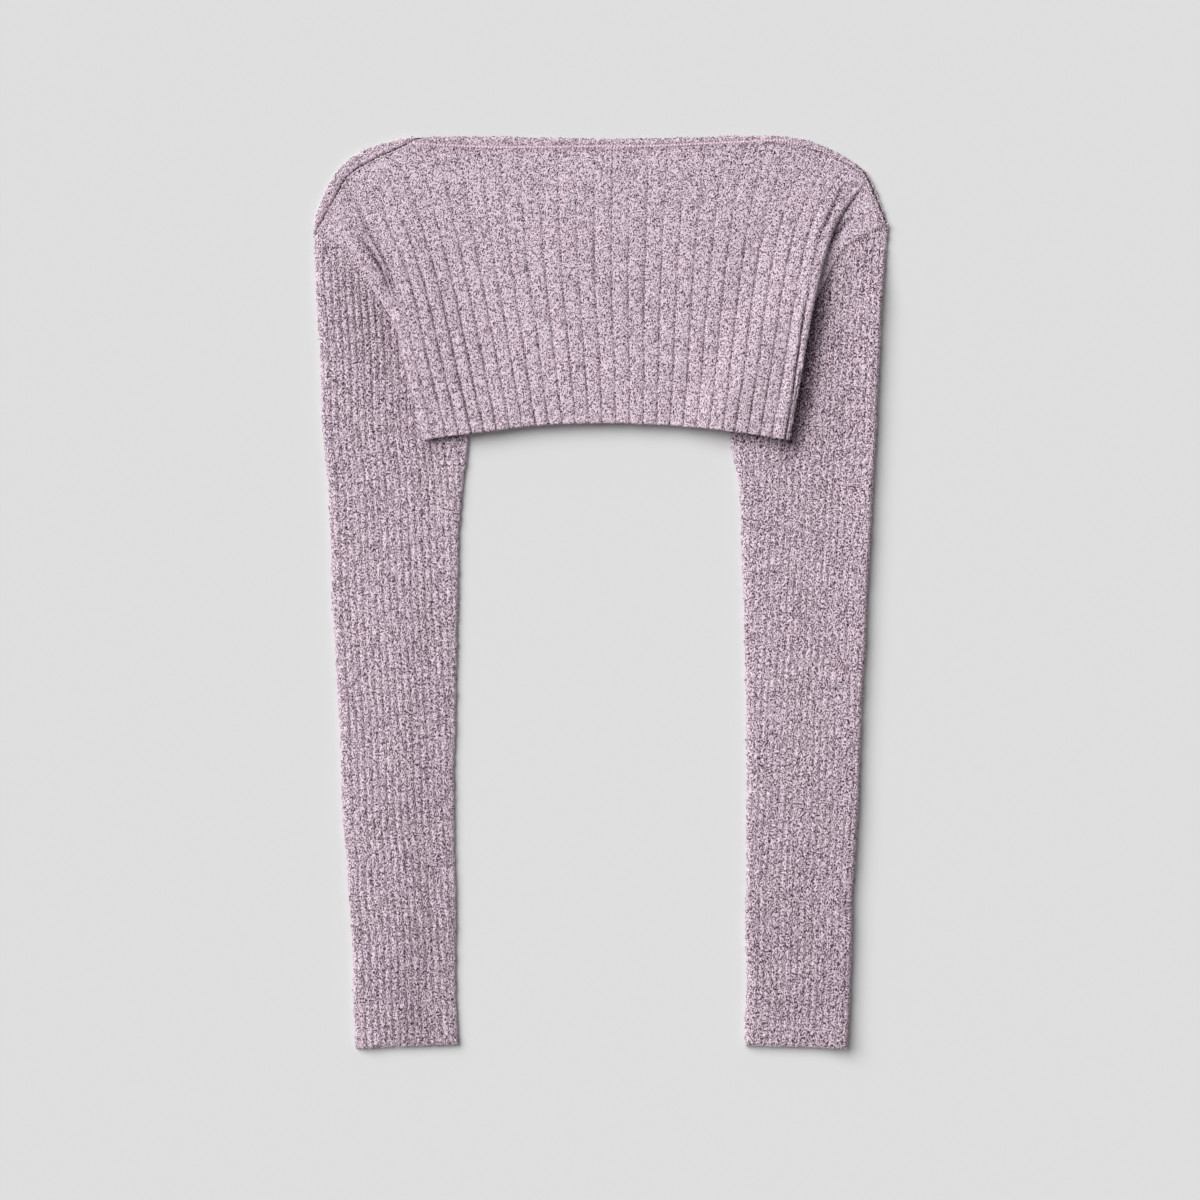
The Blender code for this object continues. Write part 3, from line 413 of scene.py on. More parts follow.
# The levels at which the turn of the wall is worked out; between them it is blended.
TURN_LEVELS = np.array([0.0, 0.03, 0.08, 0.14, 0.20, 0.26, 0.32, 0.38, 0.44, 0.50, 0.56, 0.62,
                        0.68, 0.75, 0.82, 0.89, 0.95, 1.0])
SLEEVE_LEVELS = 336
SIDE_COLUMNS = (0.0, 0.2, 0.6, 1.2, 1.9)
FIRST_COLUMN, WIDEST_SLEEVE, SLEEVE_COLUMN_STEP = 2.6, 134.0, 0.72
UNDER_COLUMNS = 16
UNDERSIDE = 24               # columns at the end of the sleeve's grid, past its inner side
HOLLOW_LEVELS = 42
HOLLOW_SHARES = (0.0, 0.2, 0.4, 0.6, 0.8, 1.0)
COARSE_STEP = 5              # the plain inner faces are made from every fifth row and column
BACK_CELLS = (150, 60)
BACK_NECK_POINTS, BACK_HEM_POINTS = 56, 40
BAND_LENGTHS = 360
BAND_ABOVE = np.array([0.0, 0.06, 0.18, 0.34, 0.5, 0.66, 0.82, 0.94, 1.0])
BAND_BELOW = np.array([0.93, 0.6, 0.3, 0.07])
CORD_SIDES = 6
NECK_CORD_LENGTHS, ARM_CORD_LENGTHS = 900, 260

# ---------------------------------------------------------------- back panel
BACK_GAP = 0.3
BACK_THICK = 1.7
BACK_RIBS = BODY_RIBS + 3
BACK_RIB_HEIGHT = 0.35
BACK_RIB_WANDER = (0.1, 9.0, 4.0)
BACK_SWELL = (0.1, 3.0, 8.8)
# painted shade in the back's rib valleys
BACK_VALLEY_DARK = 0.5

# ---------------------------------------------------------------- neckband and linked seams
BAND_DOME = 0.5
BAND_ROUNDNESS = 0.55
FRONT_BAND_SWELLS = ((0.3, 2.2, 12.1), (0.2, 4.0, 3.7))
BACK_BAND_SWELLS = ((0.3, 2.2, 2.1), (0.2, 4.0, 6.2))
PINK_START = (-160.0, 12.0)
PINK_END = (146.0, 18.0)
FRONT_SEAM_PINK, FRONT_SEAM_PINK_WIDTH = 0.75, 2.6
BAND_SEAM_PINK, BAND_SEAM_PINK_WIDTH = 0.75, 2.8
HEM_PINK, HEM_PINK_WIDTH = 0.30, 5.0
UNDER_SEAM_DARK, UNDER_SEAM_AT, UNDER_SEAM_WIDTH = 0.55, 2.7, 1.1
ABOVE_SEAM_DARK, ABOVE_SEAM_AT, ABOVE_SEAM_WIDTH = 0.20, 2.2, 0.9
# painted shade in the slit below the front's neck edge at the right shoulder
RIGHT_SLIT_DARK, RIGHT_SLIT_WIDTH = 1.7, 1.4
RIGHT_BAND_PINK = 0.45
LEFT_BAND_DARK = (0.7, 0.25)         # painted shade at the outer edge of the band's left run, beside the slit; as shares of the band's width
SLIT_EDGE = (0.5, 1.3)
SLIT_RISE = 1.8
# painted shade in the slit on the back run, beside the front's neck edge
SLIT_DARK, SLIT_DARK_WIDTH = 4.0, 0.9
SLIT_PINK, SLIT_PINK_AT, SLIT_PINK_WIDTH = 0.8, 3.0, 2.2
ABOVE_LINE_WIDTH = 0.5
NEAR_STEP = 4
LINK_RADIUS = 1.1
LINK_PITCH = 2.4
LINK_SWELL = 0.40
LINK_SWAY = 0.2
LINK_FLATNESS = 0.8
NECK_CORD_UP = BAND_WALL / 2 + 0.75
NECK_CORD_SWELL = (0.3, 3.0, 6.1)
NECK_CORD_PLAIN = 0.6        # its share of the radius where it isn't pink
ARM_CORD_RADIUS = 1.0
ARM_CORD_HEIGHT = 4.7
ARM_CORD_ENDS = (-0.030, 0.46)       # as stations along the armhole
ARM_CORD_POINTS = 160

# ---------------------------------------------------------------- curls of yarn
CURL_YARN = 0.30             # radius of the yarn in a curl
CURL_REACH = 0.95            # and the curl's own radius
CURL_TURN = 3.7
CURL_STEPS = 3
CURL_TILT = 0.9
CURL_SIZES = (0.55, 1.35)
CURL_SQUEEZE = (0.6, 1.2)
CURL_LIFT = (0.0, 0.45)
CURL_SINK = 0.2
LOWEST_CURL = 0.15
FRONT_CURLS, SLEEVE_CURLS, BAND_CURLS = 10400, 7000, 1500
FRONT_BARE, SLEEVE_BARE = 0.9, 0.5   # how bare of curls the darkest valleys are
FRONT_UPWARD, SLEEVE_UPWARD = 0.15, 0.1
SLEEVE_SIDE_WEIGHT = 0.8

# ---------------------------------------------------------------- light and view
ROOM_LIGHT = 0.19
LAMP_POWER = 3.15
LAMP_SPREAD = 50.0
LAMP_FROM = (-0.55, 0.44, 0.74)
FLOOR_SIZE = 6.0
LENS, SENSOR, FARTHEST = 85.0, 36.0, 20.0
CAMERA_AT = (-0.0008, -0.0064, 2.267)

# ---------------------------------------------------------------- yarn
LILAC = (0.738, 0.582, 0.686, 1.0)
PINK = (0.748, 0.580, 0.680, 1.0)
# colour of all painted shade
PAINTED_SHADE = (0.052, 0.012, 0.036, 1.0)
# colour of the painted highlights on the crests
PAINTED_HIGHLIGHT = (0.97, 0.82, 0.915, 1.0)
LINKING = (0.86, 0.61, 0.715, 1.0)
SLEEVE_LILAC = (0.779, 0.600, 0.721, 1.0)
SLEEVE_PINK = (0.802, 0.604, 0.705, 1.0)
FIBRE_SHARE, TUFT_SHARE, CELL_SHARE, TONE_AND_LIGHT_SHARE = 0.75, 0.65, 0.38, 0.11
FUZZ_LIFT = 0.02
FUZZ_PLAIN = 0.465           # the fuzz's height where the plain yarn begins, above the pits' painted shade
FUZZ_CREST = 0.50            # and where its painted highlight begins
PIT_DEPTH = 0.10             # how far below and above those the painted shade is darkest and the painted highlight brightest
CREST_RISE = 0.09
BRIGHT_SHARE = 0.95
SWIRL_SCALE = 800.0          # sizes of the fuzz's patterns, in shapes to the metre
SWIRL_SHIFT = 0.0010
CELL_SCALE = 720.0
FIBRE_SCALE = 1150.0
TUFT_SCALE = 720.0
PATCH_SCALE = 34.0
PATCH_ROUGHNESS = 0.6
PATCH_RANGE = (0.35, 0.65)
BUMP_HEIGHT = 0.0008
BUMP_STRENGTH = 0.8
YARN_STRETCH = (1.5, 1.0, 1.2)    # the loops are narrower across than along
PIT_SHARE = 0.95
LINKED_SHARE = 0.85
LINKED_FILLED = 0.6          # how far the linked yarn has no pits
BROKEN_TUFT = 0.5
BROKEN_RANGE = (0.98, 0.52)
BROKEN_SHARE, UNBROKEN_SHARE = 0.9, 0.15     # of a shade, in the fuzz's hollows and all over
KNITS = {
    # lilac, pink, how soft the edges of its painted pit shade and crest highlights are, how much
    # more of it is shaded pits
    "body_boucle": (LILAC, PINK, 1.0, 0.0),
    "sleeve_boucle": (SLEEVE_LILAC, SLEEVE_PINK, 0.45, 0.022),
    "band_boucle": (LILAC, PINK, 1.1, -0.012),
}
KNIT_SOCKETS = {
    "Roughness": 0.92, "Specular IOR Level": 0.25, "Sheen Weight": 0.3,
    "Sheen Roughness": 0.55, "Sheen Tint": (0.95, 0.86, 0.92, 1.0),
}
FLOOR_SOCKETS = {
    "Base Color": (0.80, 0.80, 0.80, 1.0), "Roughness": 0.9, "Specular IOR Level": 0.0,
}


# ---------------------------------------------------------------- curves
def ease(value):
    value = np.clip(value, 0.0, 1.0)
    return value * value * (3.0 - 2.0 * value)


def eased(value, start, width):
    return ease((value - start) / width)


def bell(distance, width):
    """1 at no distance, falling off on both sides."""
    return np.exp(-(distance / width) ** 2)


def mix(a, b, share):
    return a + (b - a) * share


def read(table, at, column, key=0):
    """Read one column of a table at its key column's values, on a smooth curve."""
    rows = table if table[0][key] < table[-1][key] else table[::-1]
    keys = rows[:, key]
    values = rows[:, column]
    at = np.clip(np.asarray(at, dtype=float), keys[0], keys[-1])
    i = np.clip(np.searchsorted(keys, at, side="left") - 1, 0, len(keys) - 2)
    before = np.maximum(i - 1, 0)
    after = np.minimum(i + 2, len(keys) - 1)
    width = keys[i + 1] - keys[i]
    share = (at - keys[i]) / width
    rise_a = (values[i + 1] - values[before]) / (keys[i + 1] - keys[before]) * width
    rise_b = (values[after] - values[i]) / (keys[after] - keys[i]) * width
    s2 = share * share
    s3 = s2 * share
    return (values[i] * (2 * s3 - 3 * s2 + 1) + rise_a * (s3 - 2 * s2 + share)
            + values[i + 1] * (3 * s2 - 2 * s3) + rise_b * (s3 - s2))


def unit(vectors):
    return vectors / np.maximum(np.linalg.norm(vectors, axis=-1, keepdims=True), TINY)


def lengths_along(points):
    steps = np.linalg.norm(np.diff(points, axis=0), axis=1)
    return np.concatenate([[0.0], np.cumsum(steps)])


def resampled(points, count):
    """Points at even steps along straight pieces."""
    points = np.asarray(points, dtype=float)
    lengths = lengths_along(points)
    at = np.linspace(0.0, lengths[-1], count + 1)
    return np.stack([np.interp(at, lengths, points[:, k]) for k in range(points.shape[1])], axis=1)


def along_curve(points, count):
    """Points at even steps along a smooth curve through the given ones."""
    points = np.asarray(points, dtype=float)
    keyed = np.column_stack([np.arange(len(points), dtype=float), points])
    at = np.linspace(0.0, len(points) - 1.0, CURVE_STEPS * (len(points) - 1) + 1)
    fine = np.stack([read(keyed, at, k + 1) for k in range(points.shape[1])], axis=1)
    return resampled(fine, count)


def moved_sideways(points, distance):
    """A plan curve moved to its left by a distance, one for all or one for each point."""
    points = np.asarray(points, dtype=float)
    ahead = np.vstack([points[1:], points[-1:]])
    behind = np.vstack([points[:1], points[:-1]])
    heading = unit(ahead - behind)
    left = np.stack([-heading[:, 1], heading[:, 0]], axis=1)
    return points + left * np.reshape(distance, (-1, 1))


def lumps(points, size, seed):
    """A smooth random value for each point, about -1 to 1, in lumps of the given size."""
    flat = points.reshape(-1, 3) / size
    values = [noise.noise(Vector((x + seed, y - seed, z))) for x, y, z in flat.tolist()]
    return np.array(values).reshape(points.shape[:-1])


def swell(points, *swells):
    return sum(much * lumps(points, size, seed) for much, size, seed in swells)


def directions(points):
    """Normals of a grid of points, and directions along its rows."""
    along = np.gradient(points, axis=1)
    down = np.gradient(points, axis=0)
    return unit(np.cross(down, along)), unit(along)


# ---------------------------------------------------------------- front panel
def front_across(v, up):
    centre = read(BODY_SECTIONS, up, CENTRE)
    spread = read(BODY_SECTIONS, up, SPREAD)
    left = read(BODY_SECTIONS, up, FOLD["left"]) + FOLD_INSET
    right = read(BODY_SECTIONS, up, FOLD["right"]) - FOLD_INSET
    bend = np.where(v < 0.0, centre - spread - left, right - centre - spread)
    return centre + spread * v + bend * v ** 3


def neck_level(v):
    low = np.full_like(v, NECK_LEVELS[0])
    high = np.full_like(v, NECK_LEVELS[1])
    for _ in range(SEARCH_STEPS):
        level = (low + high) / 2
        above = level > read(FRONT_NECK, front_across(v, level), 1)
        high = np.where(above, level, high)
        low = np.where(above, low, level)
    return level


def hem_level(v):
    level = np.full_like(v, HEM_LEVEL)
    for _ in range(SEARCH_STEPS):
        level = read(FRONT_HEM, front_across(v, level), 1)
    return level


def armhole_point(side, station):
    return np.stack([read(ARMHOLES, station, column) for column in ARM[side]], axis=-1)


ENDS = np.array([-1.0, 1.0])
END_NECK, END_HEM = neck_level(ENDS), hem_level(ENDS)


def fold_point(side, down):
    k = 0 if side == "left" else 1
    up = mix(END_NECK[k], END_HEM[k], down)
    return float(front_across(ENDS[k], up)), float(up)


def front_heights(v, across, down):
    """Height of the wall's middle: held up beside the folds, sinking to the middle."""
    middle = read(FRONT_HEIGHTS, down, MIDDLE)
    result = np.zeros_like(v)
    for side, chosen in (("left", v < 0.0), ("right", v >= 0.0)):
        fold = fold_point(side, down)[0]
        seam = armhole_point(side, down)[0]
        inward = SIGN[side] * (fold - across)
        under = max(SIGN[side] * (fold - seam), 0.0)
        top = read(FRONT_HEIGHTS, down, TOP[side])
        rest = read(FRONT_HEIGHTS, down, REST[side])
        roll = mix(top, rest, eased(inward, ROLL_START[side], ROLL_WIDTH))
        height = mix(roll, middle, eased(inward - under, SAG_START, SAG_WIDTH))
        result = np.where(chosen, height, result)
    return result


def tail_points(side, down):
    """The wall from its fold on: down and out over the shoulder, or round and under."""
    sign = SIGN[side]
    radius = FOLD_RADIUS[side]
    fold = np.array(fold_point(side, down))
    seam = armhole_point(side, down)
    top = float(read(FRONT_HEIGHTS, down, TOP[side]))
    outward = sign * (seam[0] - fold[0])
    heading = np.array((sign, 0.0))
    if outward > NARROWEST_CAP:
        heading = (seam - fold) / np.linalg.norm(seam - fold)
        turn = TURN_TO_CAP
        low = end = CAP_HEIGHT
    elif outward > NARROWEST_EDGE:
        turn = TURN_HANGING
        low = mix(top, HANG_END, HANG_DROP)
        end = HANG_END
        seam = fold + np.array((sign * HANG_OUT, 0.0))
    else:
        turn = TURN_UNDER
        low = float(read(FLAP_HEIGHTS, down, 1))
        end = float(read(FLAP_HEIGHTS, down, 2))
        furthest = fold[0] - sign * (radius + SHORTEST_FLAP)
        seam = np.array((sign * min(sign * seam[0], sign * furthest), seam[1]))
    points = [(*fold, top)]
    for out, of_radius, drop in turn:
        place = fold + heading * (out * EDGE_OUT + of_radius * radius)
        points.append((*place, mix(top, low, drop)))
    start = np.array(points[-1])
    finish = np.array((*seam, end))
    for i in range(1, TAIL_RUN + 1):
        points.append(tuple(mix(start, finish, i / TAIL_RUN)))
    return np.array(points)


def tail_rows(side, downs, body):
    """The turn and the flap or cap beside it at every level, as rows that start past the fold."""
    turns = []
    for down in TURN_LEVELS:
        points = tail_points(side, down)
        turns.append(points - points[0])
    turns = np.array(turns)
    edge, inside = (0, 2) if side == "left" else (-1, -3)
    rows = []
    for i, down in enumerate(downs):
        k = min(max(int(np.searchsorted(TURN_LEVELS, down)) - 1, 0), len(TURN_LEVELS) - 2)
        share = (down - TURN_LEVELS[k]) / (TURN_LEVELS[k + 1] - TURN_LEVELS[k])
        points = body[i][edge] + mix(turns[k], turns[k + 1], share)
        guide = np.vstack([body[i][inside], points])
        keyed = np.column_stack([lengths_along(guide), guide])
        keyed[:, 0] -= keyed[1, 0]
        at = (np.arange(1, TAIL_COLUMNS + 1) / TAIL_COLUMNS) ** TAIL_CROWDING * keyed[-1, 0]
        rows.append(np.stack([read(keyed, at, c) for c in (1, 2, 3)], axis=1))
    return np.array(rows)


def front_columns():
    first = np.linspace(-1.0, FIRST_VALLEY, BORDER_COLUMNS[0], endpoint=False)
    turns = np.add.outer(np.arange(BODY_RIBS - 1), RIB_COLUMNS).reshape(-1)
    ribs = FIRST_VALLEY + VALLEY_STEP * np.append(turns, BODY_RIBS - 1.0)
    last = np.linspace(ribs[-1], 1.0, BORDER_COLUMNS[1] + 1)[1:]
    return np.concatenate([first, ribs, last])


def rib_shape(turns, roundness, width=VALLEY_WIDTH):
    """Height of a rib, 0 in the valleys at whole turns and 1 on its crest; and the valley."""
    side = np.abs(2.0 * (turns - np.floor(turns)) - 1.0)
    return 1.0 - side ** roundness, bell(1.0 - side, width)


def valley_darkness(uneven):
    return np.clip(uneven + VALLEY_DARKER, *VALLEY_DARK_LIMITS)


def drifted(v, up):
    """Where the ribs run at each level: they drift aside by a share of a rib."""
    left, middle, right = (read(RIB_DRIFT, up, column) for column in (1, 2, 3))
    near = np.clip(v / DRIFT_AT, -1.0, 1.0)
    drift = np.where(near < 0.0, mix(middle, left, -near), mix(middle, right, near))
    drift = (drift * (1.0 - eased(np.abs(v), *DRIFT_END))
             + read(LAST_RIB, up, 1) * eased(v, *LAST_RIB_DRIFT))
    return v + VALLEY_STEP * drift * (np.abs(v) < DRIFTS_BELOW)


def pressed(points, creases):
    """Depth of the creases at each point of a grid, and the shade painted in them."""
    depth = np.zeros(points.shape[:-1])
    dark = np.zeros(points.shape[:-1])
    plan = points[..., :2]
    for line in creases:
        for a, b in zip(line, line[1:]):
            share, near = beside(plan, a[:2], b[:2])
            here = a + share[..., None] * (b - a)
            deep, wide, shaded = np.moveaxis(here[..., 2:], -1, 0)
            fall = bell(near, wide)
            depth = np.maximum(depth, deep * fall)
            dark = np.maximum(dark, shaded * fall)
    return depth, dark


def beside(points, a, b):
    """How far along from a to b each point of the plan is, as a share, and how far aside."""
    run = b - a
    share = np.clip(((points - a) @ run) / (run @ run), 0.0, 1.0)
    return share, np.linalg.norm(points - a - share[..., None] * run, axis=-1)


def from_row(points, row, next_row):
    """Distance of each point of a grid from its first or last row."""
    along = unit(np.gradient(points[row], axis=0))
    into = unit(points[next_row] - points[row])
    slant = np.linalg.norm(np.cross(along, into), axis=1)
    return np.linalg.norm(points - points[row], axis=2) * slant


def frayed(points):
    """How far each point of an edge strays, as the yarn is fuzzy."""
    return swell(points, EDGE_FRAY)


def right_slit_at(across):
    return eased(across, *PINK_END)


def pink_at(across):
    """The front's linked seam shows pink from the left notch to the right shoulder."""
    return eased(across, *PINK_START) * (1.0 - right_slit_at(across))


def front_row(v, ribs, up, down):
    """One row of the middle of the wall, with its ribs at the given places."""
    across = front_across(ribs, up)
    return np.stack([across, up, front_heights(v, across, down)], axis=1)


def with_tails(downs, body):
    """The body's rows with its turned sides."""
    left = tail_rows("left", downs, body)[:, ::-1]
    return np.concatenate([left, body, tail_rows("right", downs, body)], axis=1)


def front_edge_line():
    """The middle of the front's wall along its neck edge, from shoulder to shoulder."""
    v = front_columns()
    return with_tails(np.array([0.0]), front_row(v, v, neck_level(v), 0.0)[None])[0]


def front_middle(v, downs):
    """The middle of the front's wall: the body, and all of it with its turned sides."""
    neck = neck_level(drifted(v, neck_level(v)))
    hem = hem_level(drifted(v, hem_level(v)))
    body = []
    for down in downs:
        up = mix(neck, hem, down)
        body.append(front_row(v, drifted(v, up), up, down))
    body = np.array(body)
    body[..., 1] += frayed(body) * bell(body[..., 1] - hem, HEM_FRAY_WIDTH)
    return body, with_tails(downs, body)


def front_ribs(v, downs, body):
    """How far the front's ribs fall below their crests, and the shade painted on the knit there.
    """
    depths = read(RIB_DEPTHS, downs, 1)[:, None]
    darkness, width = read(VALLEYS, v, 1), read(VALLEYS, v, 2)
    turns = (v[None, :] - FIRST_VALLEY) / VALLEY_STEP
    turns = turns + swell(body * ALONG_BODY_RIBS, BODY_RIB_WANDER)
    rib, valley = rib_shape(turns, RIB_ROUNDNESS, VALLEY_WIDTH * width)
    weak = np.where(v < FIRST_VALLEY - VALLEY_STEP / 2, LEFT_BORDER_SHARE, 1.0)
    weak = mix(weak, read(LAST_RIB, body[..., 1], 2), eased(v, *LAST_VALLEY_START))
    uneven = RIB_UNEVEN + swell(body, *BODY_RIB_SWELLS)
    height = BODY_RIB_HEIGHT * (rib - 1.0) * depths * weak * uneven * mix(0.5, 1.0, darkness)
    shade = sum(dark * eased(v, *aside) * eased(downs[:, None], *below)
                for dark, aside, below in RIGHT_BORDER_SHADE)
    shade = shade + darkness * valley * depths * weak * valley_darkness(uneven)
    return height, shade + read(BODY_PAINTED_SHADE, v, 1)


def edge_marks(middle):
    """Shade below the linked seam, and the pink of the seam and the hem."""
    below_neck, above_hem = from_row(middle, 0, 1), from_row(middle, -1, -2)
    pink, slit = pink_at(middle[0, :, 0]), right_slit_at(middle[0, :, 0])
    shade = (UNDER_SEAM_DARK * pink * bell(below_neck - UNDER_SEAM_AT, UNDER_SEAM_WIDTH)
             + RIGHT_SLIT_DARK * slit * bell(below_neck, RIGHT_SLIT_WIDTH))
    linked = (FRONT_SEAM_PINK * pink * bell(below_neck, FRONT_SEAM_PINK_WIDTH)
              + HEM_PINK * bell(above_hem, HEM_PINK_WIDTH))
    return shade, linked


def front_surface():
    """The front's outer face as a grid of points, its plain inner one, its shade and pinkness."""
    downs = np.linspace(0.0, 1.0, FRONT_LEVELS)
    v = front_columns()
    body, middle = front_middle(v, downs)
    normal = directions(middle)[0]
    upward = np.clip(normal[..., 2], 0.0, 1.0)
    height = np.zeros(middle.shape[:-1])
    shade = np.zeros(middle.shape[:-1])
    inner = slice(TAIL_COLUMNS, TAIL_COLUMNS + len(v))
    height[:, inner], shade[:, inner] = front_ribs(v, downs, body)
    by_edges, linked = edge_marks(middle)
    depth, dark = pressed(middle, CREASES)
    height += BODY_RIB_HEIGHT * CREST_LEVEL - depth * upward
    height += swell(middle, *FRONT_SWELLS)
    height += swell(middle, FRONT_WAVE) * upward
    shade = np.maximum(shade + by_edges, dark * upward)
    outer = middle + normal * (BODY_WALL / 2 + height)[..., None]
    plain = middle - normal * (BODY_WALL / 2 - INNER_FACE_IN)
    return outer, plain, shade, linked


# ---------------------------------------------------------------- making meshes
def woven(shape, points, **marks):
    """Add a grid whose corners take the given rows of points, in millimetres, and marks."""
    rows, columns = points.shape[:2]
    made = bmesh.ops.create_grid(shape, x_segments=columns - 1, y_segments=rows - 1, size=1.0)
    for corner, point in zip(made["verts"], (points * MM).reshape(-1, 3).tolist()):
        corner.co = point
    for name, values in marks.items():
        layer = shape.verts.layers.float[name]
        for corner, value in zip(made["verts"], values.reshape(-1).tolist()):
            corner[layer] = value
    return made["verts"]


def marked_shape():
    """An empty bmesh whose corners can carry marks: how shaded and how pink the yarn is."""
    shape = bmesh.new()
    for name in ("shade", "linked"):
        shape.verts.layers.float.new(name)
    return shape


def open_edges(shape):
    return [edge for edge in shape.edges if edge.is_boundary]


def placed(name, data):
    """A new object in the scene, at the origin."""
    piece = bpy.data.objects.new(name, data)
    bpy.context.scene.collection.objects.link(piece)
    return piece


def smooth_piece(mesh, material):
    """A smooth piece that rides on the garment."""
    mesh.shade_smooth()
    mesh.materials.append(material)
    piece = placed(mesh.name, mesh)
    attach(piece, "root")
    return piece


def finished(shape, name, material):
    """Turn a bmesh into a piece, with its faces outwards."""
    bmesh.ops.recalc_face_normals(shape, faces=shape.faces[:])
    if shape.calc_volume(signed=True) < 0.0:
        bmesh.ops.reverse_faces(shape, faces=shape.faces[:])
    mesh = bpy.data.meshes.new(name)
    shape.to_mesh(mesh)
    shape.free()
    return smooth_piece(mesh, material)


def thinned(points, step):
    """Every so many rows and columns of a grid, with its last ones."""
    rows = sorted(set(range(0, points.shape[0], step)) | {points.shape[0] - 1})
    columns = sorted(set(range(0, points.shape[1], step)) | {points.shape[1] - 1})
    return points[np.ix_(rows, columns)]


def shell(name, outer, inner, shade, linked, material):
    """A closed thin shell: a fine outer face, a plain inner one, joined round their rims."""
    shape = marked_shape()
    woven(shape, outer, shade=shade, linked=linked)
    woven(shape, thinned(inner, COARSE_STEP))
    bmesh.ops.bridge_loops(shape, edges=open_edges(shape))
    return finished(shape, name, material)


# ---------------------------------------------------------------- sleeves
FROM_OUTER, FROM_INNER, BY_SHARE = 0, 1, 2


def straight(xs, ys, at):
    """Read a line between its points, which runs on past its ends."""
    i = np.clip(np.searchsorted(xs, at) - 1, 0, len(xs) - 2)
    return mix(ys[i], ys[i + 1], (at - xs[i]) / (xs[i + 1] - xs[i]))


class SleeveForm:
    """The flattened sleeve in plan: points at a distance in from its outer side."""

    def __init__(self, side):
        self.side = side
        curve = armhole_point(side, np.linspace(ARMHOLES[0][0], 1.0, SEAM_POINTS))
        curve = moved_sideways(curve, SIGN[side] * SEAM_GAP)
        self.top = curve[np.argsort(curve[:, 0])]

    def place(self, distance, kind, row, inset):
        """Plan points for arrays of columns and rows; columns past the inner side stay on it."""
        up = np.zeros(np.broadcast(distance, row).shape)
        for _ in range(SEARCH_STEPS):
            outer = read(SLEEVE_SECTIONS, up, OUTER[self.side])
            inner = read(SLEEVE_SECTIONS, up, INNER[self.side])
            width = np.abs(outer - inner)
            reach = np.select(
                [kind == FROM_OUTER, kind == FROM_INNER],
                [np.minimum(distance, width - inset), width - distance],
                mix(inset, width - inset, distance))
            across = outer - SIGN[self.side] * reach
            top = straight(self.top[:, 0], self.top[:, 1], across)
            bottom = mix(*CUFFS[self.side], reach / width)
            up = mix(top, bottom, row)
        return across, up, reach, width, top


def sleeve_thickness(up, top, cuff):
    from_end = np.minimum(top - up, (up - cuff) * CUFF_QUICKER)
    return mix(SLEEVE_PRESSED, SLEEVE_FULL, ease(from_end / SLEEVE_FILL_RUN))


def side_round(inset):
    left = 1.0 - np.minimum(inset / SLEEVE_SIDE_ROUND, 1.0)
    return np.sqrt(np.maximum(1.0 - left * left, 0.0))


def sleeve_columns():
    """Columns round the sleeve: how each is placed, and whether it is above or below."""
    across = np.arange(FIRST_COLUMN, WIDEST_SLEEVE, SLEEVE_COLUMN_STEP)
    columns = [(d, FROM_OUTER, 1.0) for d in (*SIDE_COLUMNS, *across)]
    columns += [(d, FROM_INNER, 1.0) for d in (SLEEVE_SIDE_ROUND, *SIDE_COLUMNS[:0:-1])]
    columns.append((0.0, FROM_INNER, 0.0))
    columns += [(d, FROM_INNER, -1.0) for d in SIDE_COLUMNS[1:]]
    columns += [(s, BY_SHARE, -1.0) for s in np.linspace(1.0, 0.0, UNDER_COLUMNS)]
    columns += [(d, FROM_OUTER, -1.0) for d in SIDE_COLUMNS[:0:-1]]
    columns.append(columns[0])
    return np.array(columns)


def fold_shade(side, across, up):
    """How much of the light the front's fold keeps off the sleeve beside it."""
    fold = read(BODY_SECTIONS, up, FOLD[side])
    outward = SIGN[side] * (across - fold)
    dark, run = read(SHADE_BY_FOLD[side], up, 1), read(SHADE_BY_FOLD[side], up, 2)
    return dark * (1.0 - eased(outward / run, *FOLD_SHADE_FADE)) * (outward > FOLD_SHADE_UNDER)


def sleeve_painted_shade(side, share, up):
    """How much shade is painted on the sleeve at a share of its width in from its outer side."""
    outer, middle, inner = (read(SLEEVE_PAINTED_SHADE[side], up, column) for column in (1, 2, 3))
    near = np.clip((share - PAINTED_SHADE_AT) / PAINTED_SHADE_STEP, 0.0, 2.0)
    return np.where(near < 1.0, mix(outer, middle, near), mix(middle, inner, near - 1.0))


def sleeve_ribs(side, points, rows, reach, width, from_seam):
    """How high the sleeve's ribs stand, and the shade painted in their valleys."""
    turns = (reach - mix(*SLEEVE_FIRST_VALLEY[side], rows)) / SLEEVE_RIB_PITCH[side]
    turns = turns + swell(points * ALONG_RIBS, SLEEVE_RIB_WANDER)
    rib, valley = rib_shape(turns, SLEEVE_RIB_ROUNDNESS, SLEEVE_VALLEY_WIDTH)
    share = (mix(RIB_AT_SEAM, 1.0, ease(from_seam / SLEEVE_RIB_FADE))
             * ease((width - SLEEVE_SIDE_ROUND - reach) / RIB_SIDE_WIDTH)
             * eased(reach, RIB_SIDE_START, RIB_SIDE_WIDTH))
    uneven = RIB_UNEVEN + swell(points, *SLEEVE_RIB_SWELLS)
    deeper = DEEP_RIBS_MORE * (bell(points[..., 0] - DEEP_RIBS_AT[0], DEEP_RIBS_REACH[0])
                               * bell(points[..., 1] - DEEP_RIBS_AT[1], DEEP_RIBS_REACH[1]))
    relief = SLEEVE_RIB_HEIGHT[side] * rib * share * np.clip(uneven, *SLEEVE_RIB_LIMITS)
    relief -= deeper * DEEP_RIBS_DOWN * (1.0 - rib) * share
    dark = SLEEVE_VALLEY_DARK[side] * valley * share * valley_darkness(uneven) * (1.0 + deeper)
    return relief, dark + DEEP_RIBS_SHADE * deeper


